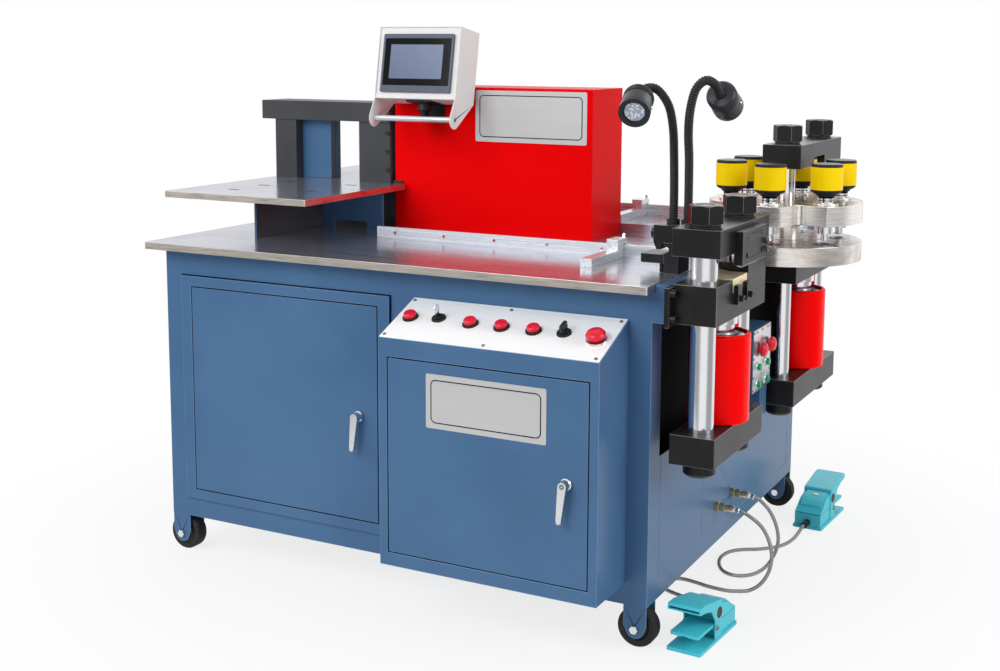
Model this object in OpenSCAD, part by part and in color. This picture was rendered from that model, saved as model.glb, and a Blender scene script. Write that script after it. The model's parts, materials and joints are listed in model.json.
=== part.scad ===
// Busbar processing machine: a wheeled cabinet with a bending station, a hydraulic shear and a turret punch.
// Millimetres. +X right, +Y to the back, +Z up, origin on the floor under the middle of the machine.

/* [Cabinet] */
// Width over the corner posts
cab_w = 1464; // [1200:1:1800]
// Depth, front face to back face
cab_d = 1236; // [1000:1:1500]
// Height of the bottom edge over the floor
cab_z = 108; // [80:1:200]
// Sheet thickness
sheet = 3; // [1.5:0.5:5]
// Width of the corner posts
post_w = 62; // [40:1:90]
// Depth of the black recess in the right side
recess_deep = 60; // [30:1:120]
// Height of the recess floor
recess_z = 469; // [400:1:600]
// Width of the box rail under the presses
rail_w = 41; // [30:1:60]
// Height of the box rail
rail_h = 91; // [60:1:120]

/* [Work table] */
// Height of the table top over the floor
table_z = 900; // [850:1:950]
// Thickness of the table plate
table_t = 20; // [12:1:30]
// Overhang at the left
table_left = 34; // [0:1:60]
// Overhang at the right
table_right = 6; // [0:1:20]
// Overhang at the front
table_front = 50; // [20:1:80]
// Thickness of the raised rear plate, up to the punch line
riser_t = 30; // [20:1:50]
// Front edge of the raised rear plate
riser_y = 750; // [700:1:800]
// Left edge of the raised rear plate
riser_x = -250; // [-400:1:-100]
// Height of the flat guide bars
bar_h = 33; // [20:1:50]
// Thickness of the guide bars
bar_t = 10; // [6:1:16]
// Front face of the front guide bar
bar_front_y = 345; // [300:1:400]
// Front face of the rear guide bar
bar_rear_y = 1000; // [900:1:1100]

/* [Wheels] */
// Wheel diameter
wheel_d = 100; // [80:1:125]
// Tyre width
wheel_w = 38; // [25:1:45]
// Axle diameter
axle_d = 12; // [8:1:16]
// Clear space between the two fork plates
fork_gap = 54; // [46:1:80]
// Fork plate thickness
fork_t = 4; // [3:0.5:8]

/* [Doors] */
// Left edge of the left door
door_x = -636; // [-660:1:-600]
// Left door width
door_w = 610; // [500:1:640]
// Bottom edge of the left door
door_z = 196; // [180:1:240]
// Left door height
door_h = 580; // [500:1:590]
// Width of the proud rim at the sides
rim_side = 38; // [20:1:60]
// Width of the proud rim above and below
rim_end = 31; // [20:1:50]
// How far the rim stands proud
rim_proud = 8; // [3:1:15]
// Gap round a door
door_gap = 3; // [1.5:0.5:5]
// Depth of a door's folded edge
door_deep = 18; // [12:1:30]

/* [Control box] */
// Left edge
box_x = 84; // [40:1:120]
// Width
box_w = 590; // [500:1:640]
// Depth in front of the cabinet
box_d = 169; // [120:1:220]
// Height of the bottom
box_z = 161; // [120:1:200]
// Height of the front face's top edge
box_front = 740; // [700:1:780]
// Height where the sloped top meets the cabinet
box_back = 810; // [790:1:860]
// Control door width
cdoor_w = 538; // [450:1:550]
// Control door height
cdoor_h = 492; // [400:1:500]
// Control panel sheet thickness
panel_t = 2; // [1:0.5:4]
// Push button cap diameter
cap_d = 32; // [22:1:40]
// Emergency stop head diameter
stop_d = 48; // [40:1:60]
// Push button travel
cap_travel = 4; // [2:0.5:6]

/* [Bending station] */
// Left edge of the small plate
small_x = -767; // [-800:1:-700]
// Front edge of the small plate
small_y = 40; // [0:1:100]
// Small plate length, front to back
small_len = 1160; // [1000:1:1200]
// Top of the small plate
small_z = 1035; // [1000:1:1080]
// Small plate thickness
small_t = 18; // [12:1:25]
// Bending gap between die column and right posts
bend_gap = 127; // [100:1:160]
// Height of the gap under the beam
bend_h = 182; // [140:1:220]
// Beam height
beam_h = 58; // [40:1:80]
// Ram width
ram_w = 46; // [30:1:48]
// Ram travel
ram_travel = 120; // [80:1:125]

/* [Housing and screen] */
// Left face of the red housing
house_x = -322; // [-340:1:-300]
// Housing length
house_w = 647; // [600:1:700]
// Front face of the housing
house_y = 560; // [550:1:600]
// Housing depth
house_d = 213; // [180:1:250]
// Housing height over the table
house_h = 427; // [380:1:460]
// Screen box width
hmi_w = 271; // [240:1:300]
// Screen box height
hmi_h = 209; // [180:1:240]
// Screen box depth
hmi_d = 110; // [80:1:112]
// Tilt of the screen face
hmi_tilt = 10; // [0:1:15]
// Handle tube diameter
grip_d = 17; // [12:1:22]

/* [Presses] */
// Distance of the press axes from the cabinet side
press_out = 105.5; // [100:0.5:120]
// Shear column diameter
shear_rod_d = 64; // [50:1:70]
// Shear column spacing
shear_pitch = 250; // [220:1:280]
// Shear head length
shear_len = 378; // [350:1:400]
// Shear head height
shear_head_h = 65; // [50:1:80]
// Shear stroke
shear_stroke = 40; // [20:1:45]
// Cylinder diameter
ram_cyl_d = 150; // [130:1:160]
// Piston rod diameter
piston_d = 70; // [50:1:90]
// Punch column diameter
punch_rod_d = 48; // [40:1:56]
// Punch column spacing
punch_pitch = 326; // [300:1:340]
// Crosshead width
cross_w = 105; // [90:1:120]
// Crosshead height
cross_h = 64; // [50:1:80]

/* [Turret] */
// Turret radius
turret_r = 205; // [190:1:210]
// Radius of the ring of punches
ring_r = 150; // [140:1:155]
// Number of punches
punch_n = 6; // [4:1:8]
// Die disc thickness
die_t = 50; // [40:1:60]
// Punch disc thickness
disc_t = 53; // [40:1:60]
// Clear height between the discs
disc_gap = 53; // [45:1:70]
// Punch sleeve diameter
sleeve_d = 84; // [70:1:88]
// Punch sleeve height
sleeve_h = 60; // [40:1:70]
// Punch body diameter
punch_d = 46; // [36:1:50]
// Punch stroke
punch_stroke = 16; // [8:1:16]
// Hub diameter between the discs
hub_d = 88; // [70:1:120]
// Width of the V notch in the punch disc
notch_w = 137; // [80:1:140]

/* [Foot switches] */
// Width
foot_w = 90; // [70:1:110]
// Length
foot_l = 233; // [200:1:260]
// Height of the hood
foot_h = 120; // [100:1:140]
// Cast wall
foot_wall = 4; // [3:0.5:6]
// Pedal thickness
pedal_t = 8; // [5:1:12]

/* [Fits] */
// Radial clearance of a shaft in its bore
run_fit = 0.05; // [0.02:0.01:0.1]
// Clearance between pieces that slide or swing past each other
slide_gap = 0.5; // [0.4:0.1:1]
// Seam between two pieces that are bolted together
seat = 0.02; // [0.01:0.01:0.1]

/* [Hidden] */
$fn = 48;

blue = [0.27, 0.42, 0.57];
steel = [0.72, 0.72, 0.72];
black = [0.12, 0.12, 0.13];
slate = [0.25, 0.27, 0.3];
red = [0.86, 0.02, 0.03];
yellow = [1, 0.84, 0];
white = [0.92, 0.92, 0.92];
teal = [0.17, 0.64, 0.7];
brass = [0.75, 0.6, 0.3];
chrome = [0.85, 0.86, 0.88];

// Cabinet and table
cab_x = cab_w / 2;
cab_top = table_z - table_t;
rail_top = table_z - 2;
rail_z = rail_top - rail_h;
recess_y = post_w + door_gap;
recess_top = rail_z - 7;
seam_y = [recess_y + 10, 387, cab_d - 60];
seam_z = cab_z + 45;
riser_z = table_z + riser_t;
riser_back = cab_d + 4;
step_x = cab_x + table_right + slide_gap;

// Presses
press_x = cab_x + press_out;
flange_x = cab_x + rail_w;
flange_t = 12;
base_w = press_out - rail_w - flange_t + 52.5;
base_x = flange_x + flange_t;
shear_y = 178;
shear_base_z = 812;
shear_base_top = table_z + 5;
shoulder_z = shear_base_top + 23;
shear_head_z = 970;
shear_head_w = 116;
yoke_w = 110;
shear_yoke_z = 478;
yoke_h = 72;
nut_h = 45;
washer_t = 6;
under_h = 34;
shear_af = 75;
punch_af = 70;
cyl_top = 768;
piston_z = cyl_top - 78 - shear_stroke;
cyl_bore_z = piston_z - 30;
slot_y = [106, 217];
slot_z = 876;
bed_z = shear_base_top + 3;
punch_y = 870;
hub_y = punch_y - punch_pitch / 2;
punch_len = 436;
die_z = riser_z;
disc_z = die_z + disc_gap;
disc_top = disc_z + disc_t;
ring_t = 17;
lid_t = 8;
guide_h = 5;
cap_top = disc_top + guide_h + punch_stroke + 2 + ring_t + sleeve_h + lid_t;
cross_z = disc_top + 87;
relief_z = cap_top + 3;
notch_a = -60;
notch_deep = 66;
all_punches = [for (i = [0:punch_n - 1]) i];
punch_base_z = 812;
punch_base_top = die_z - die_t - 2;
punch_yoke_z = 472;
tip_z = die_z + 10;

// Doors and control box
door_y = -rim_proud;
pin_d = 6;
pin_in = 6;
cdoor_x = box_x + (box_w - cdoor_w) / 2;
cdoor_z = box_z + 37;
slope_a = atan2(box_back - box_front, box_d);
slope_len = norm([box_d, box_back - box_front]);
button_x = [for (t = [0.0695, 0.3576, 0.5017, 0.6475]) box_x + box_w * t];
estop_x = box_x + box_w * 0.9305;
key_x = box_x + box_w * 0.2;
lever_x = box_x + box_w * 0.7797;
row_s = slope_len / 2;
bezel_h = 5;
barrel_d = 30;
stem_d = 24;
left_lock = [-82, 480];
control_lock = [595, 446];
lock_d = 30;
lock_h = 26;

// Bending station and screen
frame_y = [550, 674];
post_t = 36;
gap_x1 = -446;
gap_x0 = gap_x1 - bend_gap;
beam_z = small_z + bend_h;
ram_y = (frame_y[0] + frame_y[1]) / 2;
ram_z = [small_z + 25, beam_z - 25];
hmi_x = -178.5;
hmi_y = 433;
hmi_z = 1295;
pivot = [hmi_x, 490, 1262];
ball_r = 12;
shelf_z = 1231;
ear = [8, -57];
ear_r = 26;

// Side box
side_y = [480, 636];
side_z = [538, 709];
side_x = [cab_x + 31, cab_x + 96];
side_rows = [520, 596];
stalk_y = [560, 620];
stalk_z = [430, 462];
mushroom_z = 655;
mushroom_d = 40;

// Foot switches: place of the middle of the front edge, and turn
foot_a = [cab_x + 83, 31.5, -4];
foot_b = [cab_x + 125, cab_d + 23, 177];
hinge_l = 105;
hinge_z = 36;
hinge_d = 8;
cord_l = foot_l + 21;
cord_z = 20;
function foot_point(p, l, z) = [p[0] - l * sin(p[2]), p[1] + l * cos(p[2]), z];

// Hoses: diameter, ends and routes, with x counted from the cabinet's side
hose_d = 10;
gland_y = [620, 488];
gland_z = 217;
gland_len = 52;
gland_out = cab_x + gland_len;
function beside(route) = [for (p = route) p + [cab_x, 0, 0]];
hose_a_route = concat(beside([[gland_len, gland_y[0], gland_z], [78, 620, 212], [108, 618, 190],
    [128, 620, 158], [138, 625, 120], [134, 640, 80], [120, 650, 42], [106, 636, 16], [88, 600, 5],
    [63, 564, 5], [28, 556, 5], [-4, 578, 5], [-28, 624, 5], [-37, 674, 5], [-27, 724, 5], [1, 756, 5],
    [36, 778, 5], [65, 806, 5], [87, 836, 5], [101, 881, 5], [107, 925, 8], [109.6, 962, 15.5]]),
    [for (l = [20, 10, 0]) foot_point(foot_b, cord_l + l, cord_z)]);
hose_b_route = concat(beside([[gland_len, gland_y[1], gland_z], [78, 486, 214], [108, 480, 203],
    [136, 474, 186], [156, 470, 158], [166, 470, 124], [166, 470, 90], [156, 470, 56], [136, 468, 26],
    [110, 464, 8], [83, 452, 5], [53, 442, 5], [3, 446, 5], [-42, 458, 5], [-82, 462, 5], [-116, 440, 5],
    [-117, 400, 5], [-87, 370, 5], [-42, 352, 5], [8, 338, 5], [38, 338.5, 6], [61.6, 338, 9],
    [81.6, 332.6, 13], [96.2, 318, 17.5]]),
    [for (l = [20, 10, 0]) foot_point(foot_a, cord_l + l, cord_z)]);

// Hold-down stand beside the shear
stand_x = cab_x - 32;
stand_y = 190;
stand_w = 80;
stand_post = 75;
stand_top = table_z + 118;

// Lamps: neck routes from the stand's top, heads and their pointing directions
neck_d = 20;
lamp_d = 76;
lamp_len = 90;
lamp_foot = [stand_x, stand_y, stand_top];
neck_1 = [[8, 0, 0], [8, 0, 82], [6, 0, 162], [2, 0, 232], [-10, -2, 287], [-32, -18, 324],
    [-50, -44, 329], [-59, -68, 313]];
aim_1 = [0.2, -0.87, -0.45];
neck_2 = [[45, 0, 0], [46, -2, 82], [48, -10, 162], [50, -24, 222], [58, -38, 277], [72, -42, 327],
    [90, -25, 349], [103, 5, 340], [107, 32, 318]];
aim_2 = [-0.06, 0.96, -0.42];

// Press columns, and the spots of the screws and controls on the sloped panel
shear_rod_y = [shear_y - shear_pitch / 2, shear_y + shear_pitch / 2];
punch_rod_y = [hub_y, hub_y + punch_pitch];
punch_ends = [punch_y - punch_len / 2, punch_y + punch_len / 2];
end_d = 0.66;
screw_spots = [for (x = [box_x + 12, box_x + box_w / 2 - 8, box_x + box_w - 13], s = [10, slope_len - 16])
    [x, s]];
barrel_spots = concat([for (x = button_x) [x, row_s]],
    [[estop_x, row_s - 10], [key_x, row_s + 8], [lever_x, row_s + 4]]);

// Hydraulic unit
tank = [520, 460, 280];
tank_y = 750;
motor_d = 190;

// The model is centred over the origin by its outermost faces
x_min = small_x - 38;
x_max = press_x + turret_r;
y_min = -box_d - lock_h - 2;
y_max = foot_b[1];
centre = [(x_min + x_max) / 2, (y_min + y_max) / 2, 0];

// ---------------------------------------------------------------- shapes

// A box between two corners
module block(lo, hi) {
    translate(lo) cube(hi - lo);
}

// A flat rectangle between two corners with round corners
module rounded(lo, hi, r) {
    translate([lo[0] + r, lo[1]]) square([hi[0] - lo[0] - 2 * r, hi[1] - lo[1]]);
    translate([lo[0], lo[1] + r]) square([hi[0] - lo[0], hi[1] - lo[1] - 2 * r]);
    for (x = [lo[0] + r, hi[0] - r], y = [lo[1] + r, hi[1] - r])
        translate([x, y]) circle(r);
}

// A profile drawn in (y, z) and pushed along X
module along_x(x0, x1) {
    translate([x0, 0, 0]) rotate([90, 0, 90]) linear_extrude(x1 - x0) children();
}

// A profile drawn in (x, z) and pushed along Y
module along_y(y0, y1) {
    translate([0, y1, 0]) rotate([90, 0, 0]) linear_extrude(y1 - y0) children();
}

// A profile drawn in (x, y) and pushed along Z
module along_z(z0, z1) {
    translate([0, 0, z0]) linear_extrude(z1 - z0) children();
}

// A round bar along X, Y or Z from a start point
module bar_x(p, len, d) {
    translate(p) rotate([0, 90, 0]) cylinder(h = len, d = d);
}
module bar_y(p, len, d) {
    translate(p) rotate([-90, 0, 0]) cylinder(h = len, d = d);
}
module bar_z(p, len, d) {
    translate(p) cylinder(h = len, d = d);
}

// A hexagon nut standing on z = 0, with both corners turned down and a clear bore
module nut(af, h, bore) {
    chamfer = af * 0.08;
    tip = af / cos(30) / 2;
    difference() {
        intersection() {
            cylinder(h = h, r = tip, $fn = 6);
            rotate_extrude() polygon([[0, 0], [tip - chamfer, 0], [tip, chamfer / 2], [tip, h - chamfer / 2],
                [tip - chamfer, h], [0, h]]);
        }
        if (bore > 0) translate([0, 0, -1]) cylinder(h = h + 2, d = bore);
    }
}

// A socket screw along +Z: round head on z = 0, shank below
module cap_screw(d, shank) {
    difference() {
        union() {
            cylinder(h = d, d = 1.5 * d);
            if (shank > 0) translate([0, 0, -shank]) cylinder(h = shank + 1, d = d);
        }
        translate([0, 0, d / 2]) cylinder(h = d, r = 0.42 * d / cos(30), $fn = 6);
    }
}

// Point where the line from p touches the circle (c, r), on the side s
function touch(p, c, r, s) =
    let (d = p - c, a = atan2(d[1], d[0]) + s * acos(r / norm(d))) c + r * [cos(a), sin(a)];

// Smooth curve through a list of points
function pick(p, i) = p[max(0, min(len(p) - 1, i))];
function bend(a, b, c, d, t) = 0.5 * (2 * b + (c - a) * t + (2 * a - 5 * b + 4 * c - d) * t * t
    + (3 * b - a - 3 * c + d) * t * t * t);
function curve(p, n) = [for (i = [0:len(p) - 2], k = [0:n - 1])
    bend(pick(p, i - 1), p[i], p[i + 1], pick(p, i + 2), k / n), p[len(p) - 1]];
function unit(v) = v / norm(v);

// A closed tube of sides faces along a list of points
module tube(line, d, sides) {
    last = len(line) - 1;
    dirs = [for (i = [0:last]) unit(pick(line, i + 1) - pick(line, i - 1))];
    across = [for (i = 0, u = unit(cross(dirs[0], [0.3, 0.5, 0.8])); i <= last; i = i + 1,
        u = i > last ? u : unit(u - (u * dirs[i]) * dirs[i])) u];
    rings = [for (i = [0:last], k = [0:sides - 1])
        let (u = across[i], v = cross(dirs[i], u), a = 360 * k / sides)
            line[i] + d / 2 * (u * cos(a) + v * sin(a))];
    ends = [[for (k = [0:sides - 1]) k], [for (k = [sides - 1:-1:0]) last * sides + k]];
    skin = [for (i = [0:last - 1], k = [0:sides - 1])
        let (a = i * sides + k, b = i * sides + (k + 1) % sides) [a, a + sides, b + sides, b]];
    polyhedron(rings, concat(ends, skin));
}

module placed() {
    translate(-centre) children();
}

// Room that the turning turret needs in the table and the rail
module turret_room(z0, z1) {
    bar_z([press_x, hub_y, z0], z1 - z0, 2 * (turret_r + 6));
}

// ---------------------------------------------------------------- cabinet

// Outline of a caster fork plate: the leg's width, rounded round the axle
module fork_plate() {
    r = 24;
    translate([-post_w / 2 + 1, wheel_d / 2 + 8]) square([post_w - 2, cab_z - wheel_d / 2 - 8 + sheet]);
    a = [post_w / 2 - 1, wheel_d / 2 + 8];
    t = touch(a, [0, wheel_d / 2], r, -1);
    polygon([a, t, [0, wheel_d / 2], [-t[0], t[1]], [-a[0], a[1]]]);
    translate([0, wheel_d / 2]) circle(r);
}

fork_mid = [for (sx = [-1, 1], y = [fork_t + fork_gap / 2, cab_d - fork_t - fork_gap / 2])
    [sx * (cab_x - post_w / 2), y]];

module fork() {
    for (y = [-fork_gap / 2 - fork_t, fork_gap / 2]) along_y(y, y + fork_t)
        difference() {
            fork_plate();
            translate([0, wheel_d / 2]) circle(d = axle_d + 2 * run_fit);
        }
    block([-post_w / 2 + 1, -fork_gap / 2 - fork_t, cab_z],
        [post_w / 2 - 1, fork_gap / 2 + fork_t, cab_z + sheet]);
}

module cabinet() color(blue) placed() {
    difference() {
        union() {
            difference() {
                block([-cab_x, 0, cab_z], [cab_x, cab_d, cab_top]);
                block([-cab_x + sheet, sheet, cab_z + sheet], [cab_x - sheet, cab_d - sheet, cab_top + 1]);
            }
            // corner posts
            for (sx = [-1, 1], y = [0, cab_d - post_w])
                difference() {
                    translate([sx * (cab_x - post_w / 2) - post_w / 2, y, cab_z])
                        cube([post_w, post_w, cab_top - cab_z]);
                    translate([sx * (cab_x - post_w / 2) - post_w / 2 + sheet, y + sheet, cab_z + sheet])
                        cube([post_w - 2 * sheet, post_w - 2 * sheet, cab_top - cab_z]);
                }
            // top frame under the table
            difference() {
                block([-cab_x, 0, cab_top - 40], [cab_x, cab_d, cab_top]);
                block([-cab_x + 40, 40, cab_top - 41], [cab_x - 40, cab_d - 40, cab_top + 1]);
                block([-cab_x + sheet, sheet, cab_top - 41], [cab_x - sheet, cab_d - sheet, cab_top - sheet]);
            }
            // proud rim round the left door
            block([door_x - rim_side, -rim_proud, door_z - rim_end],
                [door_x + door_w + rim_side, sheet, door_z + door_h + rim_end]);
            // liner of the side recess
            block([cab_x - recess_deep - sheet, recess_y - sheet, recess_z - sheet],
                [cab_x, cab_d - recess_y + sheet, recess_top + sheet]);
            // box rail that carries the presses, stepped round the table's edge
            block([cab_x - sheet, 0, rail_z], [flange_x, cab_d, cab_top]);
            block([step_x, 0, cab_top - 1], [flange_x, cab_d, rail_top]);
        }
        block([cab_x - recess_deep, recess_y, recess_z], [cab_x + 1, cab_d - recess_y, recess_top]);
        block([cab_x, sheet, rail_z + sheet], [flange_x - sheet, cab_d - sheet, cab_top - sheet]);
        block([step_x + sheet, sheet, cab_top - sheet - 1],
            [flange_x - sheet, cab_d - sheet, rail_top - sheet]);
        block([door_x - door_gap, -rim_proud - 1, door_z - door_gap],
            [door_x + door_w + door_gap, sheet + 1, door_z + door_h + door_gap]);
        hinge_bores(door_x, door_y, door_z, door_h);
        for (y = seam_y) block([cab_x - 1, y - 1.5, seam_z], [cab_x + 1, y + 1.5, recess_z - sheet]);
        block([cab_x - 1, seam_y[0] - 1.5, seam_z - 3], [cab_x + 1, seam_y[2] + 1.5, seam_z]);
        for (y = gland_y) bar_x([cab_x - 10, y, gland_z], 20, 16 + 2 * run_fit);
        turret_room(cab_top - 3, table_z + 1);
    }
    for (p = fork_mid) translate([p[0], p[1], 0]) fork();
}

module wheel() {
    r = wheel_d / 2;
    h = wheel_w / 2;
    rotate([90, 0, 0]) rotate_extrude($fn = 64) difference() {
        union() {
            translate([0, -h]) square([r - 6, wheel_w]);
            translate([0, -h + 6]) square([r, wheel_w - 12]);
            for (s = [-1, 1]) translate([r - 6, s * (h - 6)]) circle(6);
            translate([0, -fork_gap / 2 + slide_gap]) square([15, fork_gap - 2 * slide_gap]);
        }
        translate([-r, -fork_gap]) square([r + axle_d / 2 + run_fit, 2 * fork_gap]);
        for (s = [-1, 1]) translate([26, s * h]) circle(7);
    }
}

module wheel_at(i) color(black) placed() translate([fork_mid[i][0], fork_mid[i][1], wheel_d / 2]) wheel();
module wheel_fl() wheel_at(0);
module wheel_rl() wheel_at(1);
module wheel_fr() wheel_at(2);
module wheel_rr() wheel_at(3);

// ---------------------------------------------------------------- tables and guides

module table() color(steel) placed() difference() {
    along_z(cab_top, table_z)
        rounded([-cab_x - table_left, -table_front], [cab_x + table_right, cab_d + 4], 5);
    turret_room(cab_top - 1, table_z + 1);
}

module rear_table() color(steel) placed() difference() {
    along_z(table_z, riser_z)
        rounded([riser_x, max(riser_y, house_y + house_d + 1)], [cab_x + table_right, riser_back], 4);
    turret_room(table_z - 1, riser_z + 1);
}

module guide_bar(y, z, x0, x1) difference() {
    block([x0, y, z], [x1, y + bar_t, z + bar_h]);
    for (x = [x0 + 60:160:x1 - 30]) bar_y([x, y - 1, z + bar_h / 2], bar_t + 2, 9);
}

module rails() color(steel) placed() {
    guide_bar(bar_front_y, table_z, riser_x, cab_x - 32);
    guide_bar(bar_rear_y, riser_z, riser_x, cab_x - 32);
}

// Measuring stop: a flat arm that steps up over the guide bar and clamps it behind
module stop(x, arm, z, bar_y0) {
    w = 16;
    foot = 0.3;
    t = 22;
    over = bar_h + 3;
    lip = bar_y0 + bar_t + slide_gap;
    along_x(x - w, x + w) difference() {
        polygon([[arm, z + foot], [bar_y0 - slide_gap, z + foot], [bar_y0 - slide_gap, z + over],
            [lip, z + over], [lip, z + 12], [lip + 12, z + 12], [lip + 12, z + over + 14],
            [bar_y0 - 40, z + over + 14], [bar_y0 - 40, z + t], [arm, z + t]]);
        translate([lip + 12, z + over + 14]) rotate(45) square(6, center = true);
    }
    translate([x, lip + 12 + seat, z + 24]) rotate([-90, 0, 0]) cylinder(h = 14, d = 14);
    along_x(x - 3, x + 3)
        polygon([[lip + 14, z + 20], [lip + 26, z + 20], [lip + 34, z + 56], [lip + 28, z + 58]]);
}

module stop_front() color(steel) placed() stop(498, 140, table_z, bar_front_y);
module stop_rear() color(steel) placed() stop(300, 800, riser_z, bar_rear_y);

// ---------------------------------------------------------------- bending station

module bend_support() color(blue) placed() {
    x0 = -547;
    wall = 8;
    // folded stand under the small plate
    difference() {
        block([x0, 163, table_z], [house_x - 2, small_y + small_len - 140, small_z - small_t]);
        block([x0 + wall, 162, table_z - 1], [house_x, 490, small_z]);
        block([x0 + wall, 490 + wall, table_z - 1], [house_x, small_y + small_len - 140 - wall, small_z]);
        block([x0 + wall + 40, 480, table_z - 1], [house_x - 60, 500, table_z + 20]);
    }
    // die column on the small plate
    difference() {
        along_z(small_z, beam_z) difference() {
            rounded([small_x + 8, frame_y[0] + post_t + seat], [gap_x0, frame_y[1] - post_t - seat], 0.5);
            translate([gap_x0, ram_y]) rotate(45) square(10, center = true);
        }
    }
}

module bend_plate() color(steel) placed() difference() {
    along_z(small_z - small_t, small_z) difference() {
        rounded([small_x, small_y], [house_x + 40, small_y + small_len], 4);
        translate([house_x - 4, house_y - 6]) square([60, house_d + 12]);
        for (y = [160, 300, 430, 900, 1040]) rounded([-640, y], [-600, y + 12], 5.9);
        for (y = [230, 430]) rounded([-420, y], [-380, y + 12], 5.9);
    }
}

module bend_post(x0, x1, y) {
    along_z(small_z, beam_z - seat) rounded([x0, y], [x1, y + post_t], 2);
}

module bend_frame() color(slate) placed() {
    for (y = [frame_y[0], frame_y[1] - post_t]) {
        bend_post(small_x + 8, small_x + 88, y);
        bend_post(gap_x1, gap_x1 + 112, y);
    }
    along_y(frame_y[0] - 5, frame_y[1] + 6) rounded([x_min, beam_z], [gap_x1 + 112, beam_z + beam_h], 3);
    for (z = [small_z + 40, small_z + 95, small_z + 150])
        translate([gap_x1 + 104, frame_y[0] - seat, z]) rotate([90, 0, 0]) cap_screw(8, 0);
}

module bend_ram() color(steel) placed() {
    nose = gap_x1 + 6;
    tail = house_x + ram_travel + 2;
    along_z(ram_z[0], ram_z[1]) {
        translate([nose + 12, ram_y - ram_w / 2]) square([tail - nose - 12, ram_w]);
        translate([nose + 12, ram_y]) circle(12);
        polygon([[nose + 12, ram_y - 12], [nose + 40, ram_y - ram_w / 2], [nose + 40, ram_y + ram_w / 2],
            [nose + 12, ram_y + 12]]);
    }
}

// ---------------------------------------------------------------- housing and screen

module housing() color(red) placed() {
    z1 = table_z + house_h;
    difference() {
        along_x(house_x, house_x + house_w) rounded([house_y, table_z], [house_y + house_d, z1], 4);
        block([house_x + sheet, house_y + sheet, table_z - 1],
            [house_x + house_w - sheet, house_y + house_d - sheet, z1 - sheet]);
        block([house_x - 1, ram_y - ram_w / 2 - slide_gap, ram_z[0] - slide_gap],
            [house_x + sheet + 1, ram_y + ram_w / 2 + slide_gap, ram_z[1] + slide_gap]);
    }
    // rubber edging where the small plate meets the housing
    along_z(small_z - small_t - 6, small_z + 8)
        rounded([house_x - 3.8, house_y - 5.8], [house_x + 30, house_y - seat], 2);
    color(black) screen_bracket();
}

// Bracket on the housing front under the screen: wall plate, shelf, tapered stalk and ball
module screen_bracket() {
    w = 30;
    t = 8;
    along_x(hmi_x - w, hmi_x + w) polygon([[house_y - seat, shelf_z], [house_y - seat, shelf_z + 59],
        [house_y - t, shelf_z + 59], [house_y - t, shelf_z + t], [pivot[1] - 22, shelf_z + t],
        [pivot[1] - 22, shelf_z]]);
    translate([pivot[0], pivot[1], shelf_z + t]) cylinder(h = pivot[2] - shelf_z - t, d1 = 40, d2 = 14);
    translate(pivot) sphere(ball_r);
}

// Side cheek of the screen box: the box side and an ear round the handle
module cheek() {
    t0 = touch([hmi_d, 0], ear, ear_r, -1);
    t1 = touch([0, 0], ear, ear_r, 1);
    square([hmi_d, hmi_h]);
    polygon([[0, 0], [hmi_d, 0], t0, ear, t1]);
    translate(ear) circle(ear_r);
}

module at_hmi() {
    translate([hmi_x, hmi_y, hmi_z]) rotate([-hmi_tilt, 0, 0]) children();
}

module hmi_box() color(white) placed() at_hmi() {
    w = hmi_w / 2;
    difference() {
        union() {
            for (s = [-1, 1]) along_x(s * (w - 1.5) - 1.5, s * (w - 1.5) + 1.5) cheek();
            block([-w + 1, 0, 0], [w - 1, hmi_d, hmi_h]);
        }
        block([-w + 3, -1, 3], [w - 3, 4, hmi_h - 3]);
        block([-w + 21, 3, 20], [w - 21, 40, hmi_h - 26]);
        for (s = [-1, 1]) bar_x([s * w - 4, ear[0], ear[1]], 8, 6);
    }
    bar_x([-w + 3 + seat, ear[0], ear[1]], hmi_w - 6 - 2 * seat, grip_d);
}

module hmi_panel() color(slate) placed() {
    w = 234;
    h = 169;
    at_hmi() {
        difference() {
            union() {
                along_y(-3, 4 - seat) translate([-w / 2, 18]) rounded([0, 0], [w, h], 5);
                block([-w / 2 + 12, 4 - 2 * seat, 28], [w / 2 - 12, 36, 18 + h - 12]);
            }
            along_y(-4, -2) translate([-w / 2, 18]) rounded([7, 20], [w - 7, h - 13], 2);
        }
        // socket plate under the box
        block([-40, 22, -6], [40, 88, -seat]);
    }
    translate(pivot) rotate([-hmi_tilt, 0, 0]) difference() {
        translate([0, 0, -4]) cylinder(h = 22, r = ball_r + 8);
        sphere(ball_r + slide_gap);
        translate([0, 0, -20]) cylinder(h = 20, r = ball_r + 1);
    }
}

// ---------------------------------------------------------------- doors

// A door pan: front sheet with folded edges, open behind
module door_pan(w, h) {
    difference() {
        cube([w, door_deep, h]);
        translate([2, 2, 2]) cube([w - 4, door_deep, h - 4]);
    }
}

// Hinge pins above and below a door, near its left edge
module hinge_pins(x, y, z, h) {
    for (z0 = [z - door_gap - sheet, z + h - 2])
        bar_z([x + pin_in, y + pin_in, z0], 2 + door_gap + sheet, pin_d);
}

// Bores for the hinge pins in the frame round a door
module hinge_bores(x, y, z, h) {
    for (z0 = [z - door_gap - 6, z + h])
        bar_z([x + pin_in, y + pin_in, z0], 6 + door_gap, pin_d + 2 * run_fit);
}

module lock_hole(p, y) {
    bar_y([p[0], y - 1, p[1]], door_deep + 2, lock_d - 12 + 2 * run_fit);
}

module left_door() color(blue) placed() {
    difference() {
        translate([door_x, door_y, door_z]) door_pan(door_w, door_h);
        lock_hole(left_lock, door_y);
    }
    hinge_pins(door_x, door_y, door_z, door_h);
}

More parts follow.
